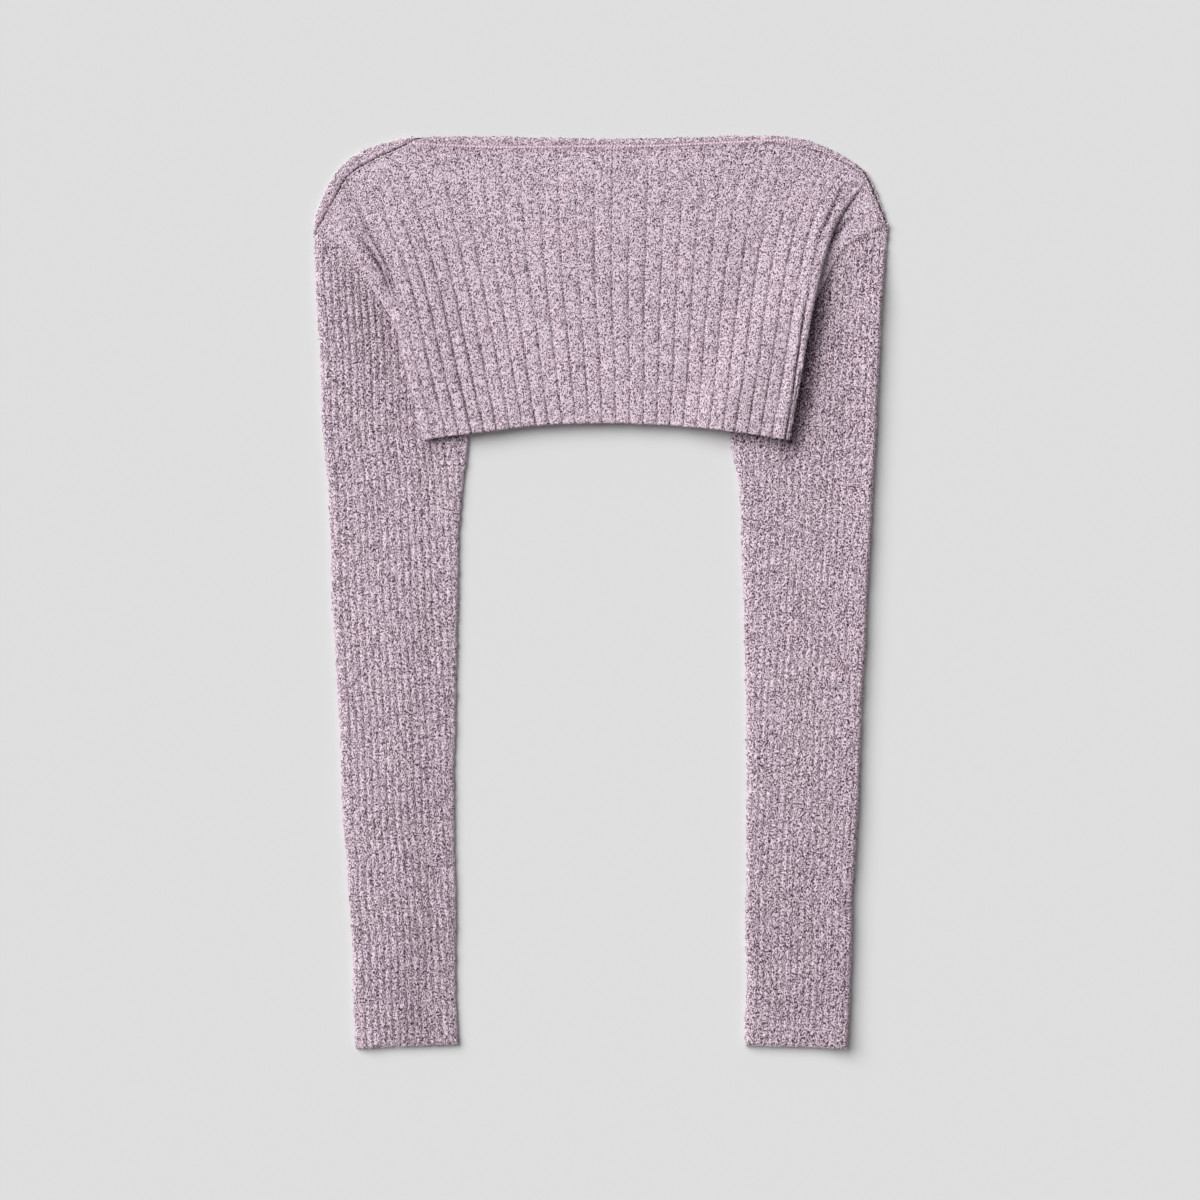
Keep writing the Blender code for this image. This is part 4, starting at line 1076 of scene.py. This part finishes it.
def sleeve_surface(form):
    """The sleeve's outer face as a grid of points that closes on itself, and its shade."""
    side = form.side
    distance, kind, lift = (column[None, :] for column in sleeve_columns().T)
    rows = np.linspace(0.0, 1.0, SLEEVE_LEVELS)[:, None]
    across, up, reach, width, top = form.place(distance, kind, rows, SLEEVE_SIDE_ROUND)
    cuff = CUFFS[side][0]
    inset = np.minimum(reach, width - reach)
    rounded = side_round(np.maximum(inset, 0.0))
    height = sleeve_thickness(up, top, cuff) / 2 * (1.0 + lift * rounded)
    points = np.stack([across, up, height], axis=-1)
    above = (lift > 0.0) & (kind == FROM_OUTER)

    relief, shade = sleeve_ribs(side, points, rows, reach, width, top - up)
    shade -= (LEFT_EDGE_LIGHT * eased(-across, *LEFT_EDGE_ACROSS)
              * eased(up, *LEFT_EDGE_UP))
    shade += CUFF_SHADE * eased(-up, *CUFF_SHADE_START)
    shade += sleeve_painted_shade(side, reach / width, up) + fold_shade(side, across, up)
    depth, dark = pressed(points, SLEEVE_CREASES[side])
    relief = (relief - depth) * above
    shade = np.maximum(shade, dark) * above

    standing = rounded * (lift > 0.0)
    relief += standing * CUFF_OPEN[side] * bell(up - cuff, CUFF_OPEN_RUN)
    if side == "right":
        relief += standing * RAISED_SIDE * bell(reach, RAISED_RUN) * eased(top - up, *RAISED_START)
    lit = (lift >= 0.0) * np.minimum(rounded + SWELL_AT_SIDE, 1.0)
    relief += lit * swell(points, SLEEVE_SWELL)
    relief += lit * swell(points, SLEEVE_WAVE) * ease(inset / WAVE_FADE)
    points[..., 2] += relief

    by_side = 1.0 - ease(inset / RIM_WIDTH)
    rim = by_side * (lift > 0.0) + bell(up - cuff, CUFF_RIM_WIDTH) * (lift >= 0.0)
    shade -= RIM_LIGHT * np.clip(rim, 0.0, 1.0)
    outward = np.where(reach < width / 2, SIGN[side], -SIGN[side])
    fray = (frayed(points) - EDGE_IN) * (height > FRAYED_ABOVE)
    points[..., 0] += outward * fray * by_side
    points[..., 1] += fray * bell(up - cuff, CUFF_FRAY_WIDTH)
    points[:, -1] = points[:, 0]
    return points, shade


def sleeve_hollow(form):
    """The plain inner tube as a grid of points that closes on itself."""
    columns = [(HOLLOW_IN_SIDE, FROM_OUTER, 0.0)]
    columns += [(s, BY_SHARE, 1.0) for s in HOLLOW_SHARES]
    columns.append((HOLLOW_IN_SIDE, FROM_INNER, 0.0))
    columns += [(s, BY_SHARE, -1.0) for s in HOLLOW_SHARES[::-1]]
    columns.append(columns[0])
    distance, kind, lift = (column[None, :] for column in np.array(columns).T)
    rows = np.linspace(0.0, 1.0, HOLLOW_LEVELS)[:, None]
    across, up, reach, width, top = form.place(distance, kind, rows, HOLLOW_IN_FLAT)
    middle = sleeve_thickness(up, top, CUFFS[form.side][0]) / 2
    points = np.stack([across, up, middle + lift * (middle - SLEEVE_WALL)], axis=-1)
    points[:, -1] = points[:, 0]
    return points


def cuff_fringe(top):
    """A strip that slants down and out from the cuff's upper edge, for loose curls to stand on."""
    edge = top[-1]
    return np.stack([edge, np.column_stack([edge[:, 0], edge[:, 1] - FRINGE_OUT,
                                            edge[:, 2] * FRINGE_DROP])])


def make_sleeve(side, material):
    form = SleeveForm(side)
    outer, shade = sleeve_surface(form)
    shape = marked_shape()
    for points, marks in ((outer, {"shade": shade}), (sleeve_hollow(form), {})):
        made = woven(shape, points, **marks)
        bmesh.ops.remove_doubles(shape, verts=made, dist=WELD * MM)
    rims = open_edges(shape)
    for upper in (True, False):
        ends = [edge for edge in rims if (edge.verts[0].co.y > 0.0) == upper]
        bmesh.ops.bridge_loops(shape, edges=ends)
    piece = finished(shape, "sleeve_" + side + "_knit", material)
    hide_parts("sleeve_" + side)
    return piece, outer, shade


# ---------------------------------------------------------------- back panel
def seam_line(side, first, last, gap):
    curve = armhole_point(side, np.linspace(first, last, SEAM_POINTS))
    return moved_sideways(curve, -SIGN[side] * gap)


def back_band_lines(count):
    outer = along_curve(NECK_OUTLINE, count)
    inner = moved_sideways(outer, -BACK_BAND_WIDTH)
    inner[0] = armhole_point("left", BACK_CORNER)
    inner[-1] = armhole_point("right", BACK_CORNER)
    return outer, inner


def back_patch():
    """The back panel in plan, between its neck edge, armhole seams and hem."""
    left = seam_line("left", BACK_CORNER, 1.0, BACK_GAP)
    right = seam_line("right", BACK_CORNER, 1.0, BACK_GAP)
    neck = moved_sideways(back_band_lines(BACK_NECK_POINTS)[1], -SEAM_GAP)
    top = resampled(np.vstack([left[:1], neck[2:-2], right[:1]]), BACK_CELLS[0])
    hem = along_curve(BACK_HEM, BACK_HEM_POINTS)
    bottom = resampled(np.vstack([left[-1:], hem[1:-1], right[-1:]]), BACK_CELLS[0])
    left, right = resampled(left, BACK_CELLS[1]), resampled(right, BACK_CELLS[1])
    s = np.linspace(0.0, 1.0, BACK_CELLS[0] + 1)[None, :, None]
    t = np.linspace(0.0, 1.0, BACK_CELLS[1] + 1)[:, None, None]
    across = mix(left[:, None, :], right[:, None, :], s)
    along = mix(top[None, :, :], bottom[None, :, :], t)
    corners = mix(mix(top[0], top[-1], s), mix(bottom[0], bottom[-1], s), t)
    return across + along - corners


def make_back(material):
    plan = back_patch()
    low = np.concatenate([plan, np.zeros(plan.shape[:2] + (1,))], axis=2)
    high = low + (0.0, 0.0, BACK_THICK)
    turns = BACK_RIBS * np.linspace(0.0, 1.0, plan.shape[1])[None, :]
    turns = turns + swell(low * ALONG_RIBS, BACK_RIB_WANDER)
    rib, valley = rib_shape(turns, RIB_ROUNDNESS)
    high[..., 2] += BACK_RIB_HEIGHT * rib + swell(high, BACK_SWELL)
    piece = shell("back_panel_knit", high, low, BACK_VALLEY_DARK * valley,
                  np.zeros(valley.shape), material)
    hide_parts("back_panel")
    return piece


# ---------------------------------------------------------------- neckband and linked seams
def closed(rows):
    """Rows with their first column again at their end."""
    return np.concatenate([rows, rows[:, :1]], axis=1)


def tube(name, ring_rows, shade, linked, material):
    """A closed strip: rows of rings along it, joined round and closed at both ends."""
    shape = marked_shape()
    made = woven(shape, closed(ring_rows), shade=closed(shade), linked=closed(linked))
    bmesh.ops.remove_doubles(shape, verts=made, dist=BAND_WELD * MM)
    bmesh.ops.holes_fill(shape, edges=open_edges(shape), sides=0)
    return finished(shape, name, material)


def strip_rings(inner, outer, low, high, dome):
    """Rings across a strip between two plan lines, each point's share of the width, and whether
    it is above: flat below, rounded edges, domed above."""
    width = np.linalg.norm(outer - inner, axis=1)[:, None]
    heading = (outer - inner) / width
    lift = np.sin(np.pi * BAND_ABOVE) ** BAND_ROUNDNESS
    share = np.concatenate([BAND_ABOVE, BAND_BELOW])[None, :]
    above = (np.arange(share.shape[1]) < len(BAND_ABOVE))[None, :] * 1.0
    middle = (low + high)[:, None] / 2
    half = (high - low)[:, None] / 2
    z_above = middle + (half + dome) * lift[None, :]
    z_below = np.repeat(middle - half, len(BAND_BELOW), axis=1)
    z = np.concatenate([z_above, z_below], axis=1)
    plan = inner[:, None, :] + heading[:, None, :] * (share * width)[..., None]
    return np.concatenate([plan, z[..., None]], axis=2), share, above


def make_front_band(edge, material):
    """The front run of the neckband, beside the front panel's neck edge."""
    line = resampled(edge, BAND_LENGTHS)
    plan = line[:, :2]
    inner = moved_sideways(plan, SEAM_GAP)
    outer = moved_sideways(plan, SEAM_GAP + read(BAND_WIDTHS, plan[:, 0], 1)
                           + frayed(line) - EDGE_IN)
    thick = BAND_WALL / 2
    rings, share, above = strip_rings(inner, outer, line[:, 2] - thick, line[:, 2] + thick,
                                      BAND_DOME)
    rings[..., 2] += above * swell(rings, *FRONT_BAND_SWELLS)
    from_seam = share * np.linalg.norm(outer - inner, axis=1)[:, None]
    pink, slit = pink_at(plan[:, 0])[:, None], right_slit_at(plan[:, 0])[:, None]
    linked = BAND_SEAM_PINK * bell(from_seam, BAND_SEAM_PINK_WIDTH) * above * pink
    linked += RIGHT_BAND_PINK * above * slit
    shade = ABOVE_SEAM_DARK * bell(from_seam - ABOVE_SEAM_AT, ABOVE_SEAM_WIDTH) * above * pink
    left = (plan[:, 0] < 0.0)[:, None]
    shade = np.maximum(shade, left * (1.0 - pink) * eased(share, *LEFT_BAND_DARK))
    piece = tube("neckband_front_knit", rings, shade, linked, material)
    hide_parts("neckband_front")
    return piece, rings[:, :len(BAND_ABOVE)], line


def nearest(points, line):
    """Distance in plan from each point to a line."""
    return np.min([beside(points, a, b)[1] for a, b in zip(line, line[1:])], axis=0)


def past_line(points, line):
    """1 where a point lies above a neck line in plan, 0 below it."""
    order = np.argsort(line[:, 0])
    level = np.interp(points[..., 0], line[order, 0], line[order, 1])
    inside = (points[..., 0] > line[:, 0].min()) & (points[..., 0] < line[:, 0].max())
    return np.where(inside, ease((points[..., 1] - level) / ABOVE_LINE_WIDTH), 1.0)


def make_back_band(front_edge, material):
    """The back run, seen beyond the front's neck edge, with painted shade in the slit between them
    and under the front.
    """
    outer, inner = back_band_lines(BAND_LENGTHS)
    ground = np.zeros(len(outer))
    outer = moved_sideways(outer, frayed(np.column_stack([outer, ground])) - EDGE_IN)
    rings, share, above = strip_rings(inner, outer, ground, ground + BACK_THICK, 0.0)
    beyond = nearest(rings[..., :2], front_edge[::NEAR_STEP])
    outside = past_line(rings[..., :2], front_edge)
    clear = eased(beyond, *SLIT_EDGE) * outside
    rings[..., 2] += above * clear * (SLIT_RISE + swell(rings, *BACK_BAND_SWELLS))
    shade = above * (SLIT_DARK * bell(beyond, SLIT_DARK_WIDTH) + (1.0 - outside))
    shade = np.clip(shade, 0.0, SLIT_DARK)
    linked = above * outside * SLIT_PINK * bell(beyond - SLIT_PINK_AT, SLIT_PINK_WIDTH)
    piece = tube("neckband_back_knit", rings, shade, linked, material)
    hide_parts("neckband_back")
    return piece, rings[:, :len(BAND_ABOVE)], clear[:, :len(BAND_ABOVE)]


def cord_rings(line, radius, pitch):
    """Rings of a linked cord along a line, swelling at each stitch."""
    length = lengths_along(line)
    heading = unit(np.gradient(line, axis=0))
    side = unit(np.cross(heading, (0.0, 0.0, 1.0)))
    up = np.cross(side, heading)
    angle = np.linspace(0.0, 2.0 * np.pi, CORD_SIDES + 1)[:-1][None, :, None]
    stitch = 1.0 + LINK_SWELL * np.sin(2.0 * np.pi * length / pitch)
    size = (np.broadcast_to(radius, length.shape) * stitch)[:, None, None]
    sway = LINK_SWAY * np.sin(np.pi * length / pitch)[:, None, None]
    return (line[:, None, :] + side[:, None, :] * (np.cos(angle) * size + sway)
            + up[:, None, :] * np.sin(angle) * size * LINK_FLATNESS)


def make_linking(name, line, radius, linked, material):
    rings = cord_rings(line, radius, LINK_PITCH)
    plain = np.zeros(rings.shape[:2])
    return tube(name, rings, plain, plain + np.reshape(linked, (-1, 1)), material)


# ---------------------------------------------------------------- curls of yarn
def curl_shape():
    """One curl: a thin three-sided yarn bent through more than half a turn, lying flat."""
    shape = bmesh.new()
    bmesh.ops.create_circle(shape, segments=3, radius=CURL_YARN / CURL_REACH)
    bmesh.ops.rotate(shape, verts=shape.verts[:], cent=(0, 0, 0),
                     matrix=Matrix.Rotation(math.pi / 2, 3, "X"))
    bmesh.ops.translate(shape, verts=shape.verts[:], vec=(1.0, 0.0, 0.0))
    bmesh.ops.spin(shape, geom=shape.verts[:] + shape.edges[:], cent=(0, 0, 0), axis=(0, 0, 1),
                   angle=CURL_TURN, steps=CURL_STEPS)
    bmesh.ops.recalc_face_normals(shape, faces=shape.faces[:])
    bmesh.ops.triangulate(shape, faces=shape.faces[:])
    shape.verts.index_update()
    points = np.array([corner.co for corner in shape.verts])
    faces = np.array([[corner.index for corner in face.verts] for face in shape.faces])
    shape.free()
    return points, faces


def cell_weights(surface, weight):
    """Area of each cell of a grid of points, times its weight."""
    a, b, c = surface[:-1, :-1], surface[:-1, 1:], surface[1:, :-1]
    return np.linalg.norm(np.cross(b - a, c - a), axis=2) * weight[:-1, :-1]


def scattered(surface, weight, count, random):
    """Random places on a grid of points, and the row and column of the cell each is in."""
    weights = cell_weights(surface, weight)
    chance = weights.reshape(-1)
    cells = random.choice(len(chance), size=count, p=chance / chance.sum())
    i, j = np.unravel_index(cells, weights.shape)
    s, t = random.random((2, count, 1))
    place = (surface[i, j] * (1 - s) * (1 - t) + surface[i, j + 1] * s * (1 - t)
             + surface[i + 1, j] * (1 - s) * t + surface[i + 1, j + 1] * s * t)
    return place, i, j


def curled_over(surface, weight, base, count, random):
    """The corners of curls at random places on a grid of points, each curl turned its own way."""
    place, i, j = scattered(surface, weight, count, random)
    normal, along = directions(surface)
    up = normal[i, j] * np.sign(normal[..., 2].mean())
    forward = along[i, j]
    sideways = np.cross(up, forward)
    turn = random.uniform(0.0, 2.0 * np.pi, (count, 1))
    first = forward * np.cos(turn) + sideways * np.sin(turn)
    second = np.cross(up, first)
    tilt = random.uniform(-CURL_TILT, CURL_TILT, (count, 1))
    across = second * np.cos(tilt) + up * np.sin(tilt)
    third = np.cross(first, across)
    size = CURL_REACH * random.uniform(*CURL_SIZES, (count, 1))
    squeeze = random.uniform(*CURL_SQUEEZE, (count, 1))
    lift = random.uniform(*CURL_LIFT, (count, 1))
    centre = place + up * lift - across * np.sin(tilt) * size * CURL_SINK
    stretch = np.stack([size, size * squeeze, np.full_like(size, CURL_REACH)], axis=2)
    local = base[None, :, :] * stretch
    return (centre[:, None, :] + local[..., :1] * first[:, None, :]
            + local[..., 1:2] * across[:, None, :] + local[..., 2:] * third[:, None, :])


def make_curls(name, surfaces, count, random, material):
    """Curls of yarn all over some grids of points, given with their weights and how much painted
    light is added to their random tones.
    """
    base, faces = curl_shape()
    areas = [cell_weights(surface, weight).sum() for surface, weight, painted_light in surfaces]
    corners, tones_and_light = [], []
    for (surface, weight, painted_light), area in zip(surfaces, areas):
        share = int(count * area / sum(areas))
        corners.append(curled_over(surface, weight, base, share, random).reshape(-1, 3))
        tones_and_light.append(np.repeat(painted_light + random.uniform(-1.0, 1.0, share), len(base)))
    corners = np.vstack(corners)
    corners[:, 2] = np.maximum(corners[:, 2], LOWEST_CURL)
    tones_and_light = np.concatenate(tones_and_light)
    curls = np.arange(len(corners) // len(base))
    loops = (faces[None, :, :] + len(base) * curls[:, None, None]).reshape(-1)
    mesh = bpy.data.meshes.new(name)
    mesh.vertices.add(len(corners))
    mesh.vertices.foreach_set("co", (corners * MM).reshape(-1))
    mesh.loops.add(len(loops))
    mesh.loops.foreach_set("vertex_index", loops)
    mesh.polygons.add(len(loops) // 3)
    mesh.polygons.foreach_set("loop_start", np.arange(0, len(loops), 3))
    mesh.update(calc_edges=True)
    mesh.attributes.new("tone_and_light", "FLOAT", "POINT").data.foreach_set("value", tones_and_light)
    return smooth_piece(mesh, material)


# ---------------------------------------------------------------- finishes
class Strand:
    """A number that varies over a surface; arithmetic on it adds Math nodes."""

    def __init__(self, finish, socket):
        self.finish = finish
        self.socket = socket

    def math(self, operation, first, second):
        made = self.finish.node("ShaderNodeMath", {"operation": operation}, {0: first, 1: second})
        return Strand(self.finish, made.outputs[0])

    def __add__(self, other):
        return self.math("ADD", self, other)

    def __radd__(self, other):
        return self.math("ADD", other, self)

    def __sub__(self, other):
        return self.math("SUBTRACT", self, other)

    def __rsub__(self, other):
        return self.math("SUBTRACT", other, self)

    def __mul__(self, other):
        return self.math("MULTIPLY", self, other)

    def __rmul__(self, other):
        return self.math("MULTIPLY", other, self)

    def limited(self):
        return self.math("MINIMUM", self.math("MAXIMUM", self, 0.0), 1.0)


class Finish:
    """A material put together from nodes."""

    def __init__(self, name):
        self.material = bpy.data.materials.new(name)
        self.material.use_nodes = True
        self.tree = self.material.node_tree
        self.shader = self.tree.nodes["Principled BSDF"]

    def put(self, socket, value):
        if isinstance(value, Strand):
            value = value.socket
        if isinstance(value, bpy.types.NodeSocket):
            self.tree.links.new(value, socket)
        else:
            socket.default_value = value

    def dress(self, sockets):
        """Set or link sockets of the shader."""
        for name, value in sockets.items():
            self.put(self.shader.inputs[name], value)

    def node(self, kind, settings, values):
        made = self.tree.nodes.new(kind)
        for name, value in settings.items():
            setattr(made, name, value)
        for key, value in values.items():
            self.put(made.inputs[key], value)
        return made

    def value(self, kind, settings, values, output=0):
        return Strand(self, self.node(kind, settings, values).outputs[output])

    def vector(self, operation, values):
        return self.node("ShaderNodeVectorMath", {"operation": operation}, values).outputs[0]

    def cloud(self, place, scale, detail, roughness=0.5):
        return self.value("ShaderNodeTexNoise", {}, {"Vector": place, "Scale": scale,
                                                     "Detail": detail, "Roughness": roughness})

    def mark(self, name):
        """What the piece's own attribute says at each place."""
        return self.value("ShaderNodeAttribute", {"attribute_name": name}, {}, output=2)

    def between(self, value, low, high):
        """0 below low, 1 above high, smooth in between."""
        return self.value("ShaderNodeMapRange", {"interpolation_type": "SMOOTHSTEP"},
                          {"Value": value, "From Min": low, "From Max": high})

    def blend(self, share, first, second):
        """Mix two colours."""
        made = self.node("ShaderNodeMix", {"data_type": "RGBA"}, {0: share, 6: first, 7: second})
        return made.outputs[2]


def boucle_knit(name, lilac, pink, softness, pits):
    """Boucle yarn: small curls, painted shade in the pits between them, painted highlights on
    their crests, faintly mottled lilac and pink.
    """
    finish = Finish(name)
    plain = finish.node("ShaderNodeTexCoord", {}, {}).outputs["Object"]
    place = finish.vector("MULTIPLY", {0: plain, 1: YARN_STRETCH})
    swirl = finish.node("ShaderNodeTexNoise", {}, {"Vector": place, "Scale": SWIRL_SCALE,
                                                   "Detail": 1.0})
    shift = finish.vector("SCALE", {0: swirl.outputs["Color"], "Scale": SWIRL_SHIFT})
    curled = finish.vector("ADD", {0: place, 1: shift})
    cells = finish.value("ShaderNodeTexVoronoi", {"feature": "F1"},
                         {"Vector": curled, "Scale": CELL_SCALE, "Randomness": 1.0})
    fibre = finish.cloud(curled, FIBRE_SCALE, 1.0)
    tuft = finish.cloud(curled, TUFT_SCALE, 0.0)
    patches = finish.cloud(plain, PATCH_SCALE, 2.0, PATCH_ROUGHNESS)
    tone_and_light, shade, linked = (finish.mark(mark) for mark in ("tone_and_light", "shade", "linked"))

    fuzz = (fibre * FIBRE_SHARE + tuft * TUFT_SHARE - cells * CELL_SHARE
            + (tone_and_light * TONE_AND_LIGHT_SHARE + FUZZ_LIFT))
    yarn = finish.blend(finish.between(patches, *PATCH_RANGE), lilac, pink)
    yarn = finish.blend((linked * LINKED_SHARE).limited(), yarn, LINKING)
    # painted highlight on the fuzz's crests
    crest = FUZZ_CREST + pits
    light = finish.between(fuzz, crest, crest + CREST_RISE * softness) * BRIGHT_SHARE
    yarn = finish.blend(light, yarn, PAINTED_HIGHLIGHT)
    # painted shade in the fuzz's pits and wherever a piece is marked shaded
    level = FUZZ_PLAIN + pits
    pit = finish.between(fuzz, level, level - PIT_DEPTH * softness)
    broken = finish.between(fibre + tuft * BROKEN_TUFT, *BROKEN_RANGE)
    dark = (pit * PIT_SHARE * (1.0 - linked * LINKED_FILLED)
            + shade * (broken * BROKEN_SHARE + UNBROKEN_SHARE)).limited()
    yarn = finish.blend(dark, yarn, PAINTED_SHADE)
    bump = finish.node("ShaderNodeBump", {}, {"Strength": BUMP_STRENGTH, "Distance": BUMP_HEIGHT,
                                              "Height": fuzz})
    finish.dress({"Base Color": yarn, "Normal": bump.outputs[0]})
    finish.dress(KNIT_SOCKETS)
    return finish.material


# ---------------------------------------------------------------- floor, light, camera
def make_stage():
    shape = bmesh.new()
    bmesh.ops.create_grid(shape, x_segments=1, y_segments=1, size=FLOOR_SIZE)
    mesh = bpy.data.meshes.new("floor")
    shape.to_mesh(mesh)
    shape.free()
    finish = Finish("pale_floor")
    finish.dress(FLOOR_SOCKETS)
    mesh.materials.append(finish.material)
    floor = placed("floor", mesh)


def make_light():
    world = bpy.data.worlds.new("studio")
    world.use_nodes = True
    background = world.node_tree.nodes["Background"]
    background.inputs["Color"].default_value = (1.0, 1.0, 1.0, 1.0)
    background.inputs["Strength"].default_value = ROOM_LIGHT
    bpy.context.scene.world = world
    lamp = bpy.data.lights.new("window", "SUN")
    lamp.energy = LAMP_POWER
    lamp.angle = math.radians(LAMP_SPREAD)
    placed("window", lamp).rotation_euler = Vector(LAMP_FROM).to_track_quat("Z", "Y").to_euler()


def make_camera():
    lens = bpy.data.cameras.new("camera")
    lens.lens = LENS
    lens.sensor_width = SENSOR
    lens.clip_end = FARTHEST
    camera = placed("camera", lens)
    camera.location = CAMERA_AT
    bpy.context.scene.camera = camera


def clear_others():
    """Remove what the empty scene starts with."""
    kept = list(frame["nodes"].values()) + list(frame["bodies"].values())
    for piece in list(bpy.data.objects):
        if piece not in kept:
            bpy.data.objects.remove(piece, do_unlink=True)


def make_body(knit, random):
    outer, inner, shade, linked = front_surface()
    front = shell("front_panel_knit", outer, inner, shade, linked, knit)
    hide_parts("front_panel")
    back = make_back(knit)
    upward = directions(outer)[0][..., 2]
    weight = np.where(upward > FRONT_UPWARD, 1.0 - FRONT_BARE * np.clip(shade, 0.0, 1.0), 0.0)
    curls = make_curls("front_curls", [(outer, weight, 0.0)], FRONT_CURLS, random, knit)


def make_arm(side, knit, body_knit, random):
    sleeve, surface, shades = make_sleeve(side, knit)
    top, shades = surface[:, :-UNDERSIDE], shades[:, :-UNDERSIDE]
    upward = np.abs(directions(top)[0][..., 2])
    weight = np.where(upward > SLEEVE_UPWARD, 1.0 - SLEEVE_BARE * np.clip(shades, 0.0, 1.0),
                      SLEEVE_SIDE_WEIGHT)
    fringe = cuff_fringe(top)
    dense = np.full(fringe.shape[:2], FRINGE_WEIGHT)
    # the fringe's curls carry painted light
    curls = make_curls(side + "_sleeve_curls",
                       [(top, weight, 0.0), (fringe, dense, FRINGE_PAINTED_LIGHT)], SLEEVE_CURLS, random,
                       knit)
    line = armhole_point(side, np.linspace(*ARM_CORD_ENDS, ARM_CORD_POINTS))
    height = np.full((len(line), 1), ARM_CORD_HEIGHT)
    seam = resampled(np.concatenate([line, height], axis=1), ARM_CORD_LENGTHS)
    linking = make_linking(side + "_armhole_linking", seam, ARM_CORD_RADIUS, 0.0, body_knit)


def make_neck(knit, random):
    front_band, band_top, line = make_front_band(front_edge_line(), knit)
    slit = moved_sideways(line[:, :2], SEAM_GAP + read(BAND_WIDTHS, line[:, 0], 1))
    back_band, back_top, clear = make_back_band(slit, knit)
    plain = np.ones(band_top.shape[:2])
    curls = make_curls("band_curls", [(band_top, plain, 0.0), (back_top, clear, 0.0)],
                       BAND_CURLS, random, knit)
    seam = moved_sideways(line[:, :2], SEAM_GAP / 2)
    cord = resampled(np.column_stack([seam, line[:, 2] + NECK_CORD_UP]), NECK_CORD_LENGTHS)
    pink = pink_at(cord[:, 0])
    cord[:, 1] += swell(cord, NECK_CORD_SWELL)
    linking = make_linking("neck_linking", cord, LINK_RADIUS * mix(NECK_CORD_PLAIN, 1.0, pink),
                           pink, knit)


def main():
    clear_others()
    make_camera()
    make_light()
    make_stage()
    bpy.context.scene.view_settings.view_transform = "Standard"
    random = np.random.default_rng(SEED)
    body, arm, band = (boucle_knit(name, *look) for name, look in KNITS.items())
    make_body(body, random)
    for side in ("left", "right"):
        make_arm(side, arm, body, random)
    make_neck(band, random)


main()
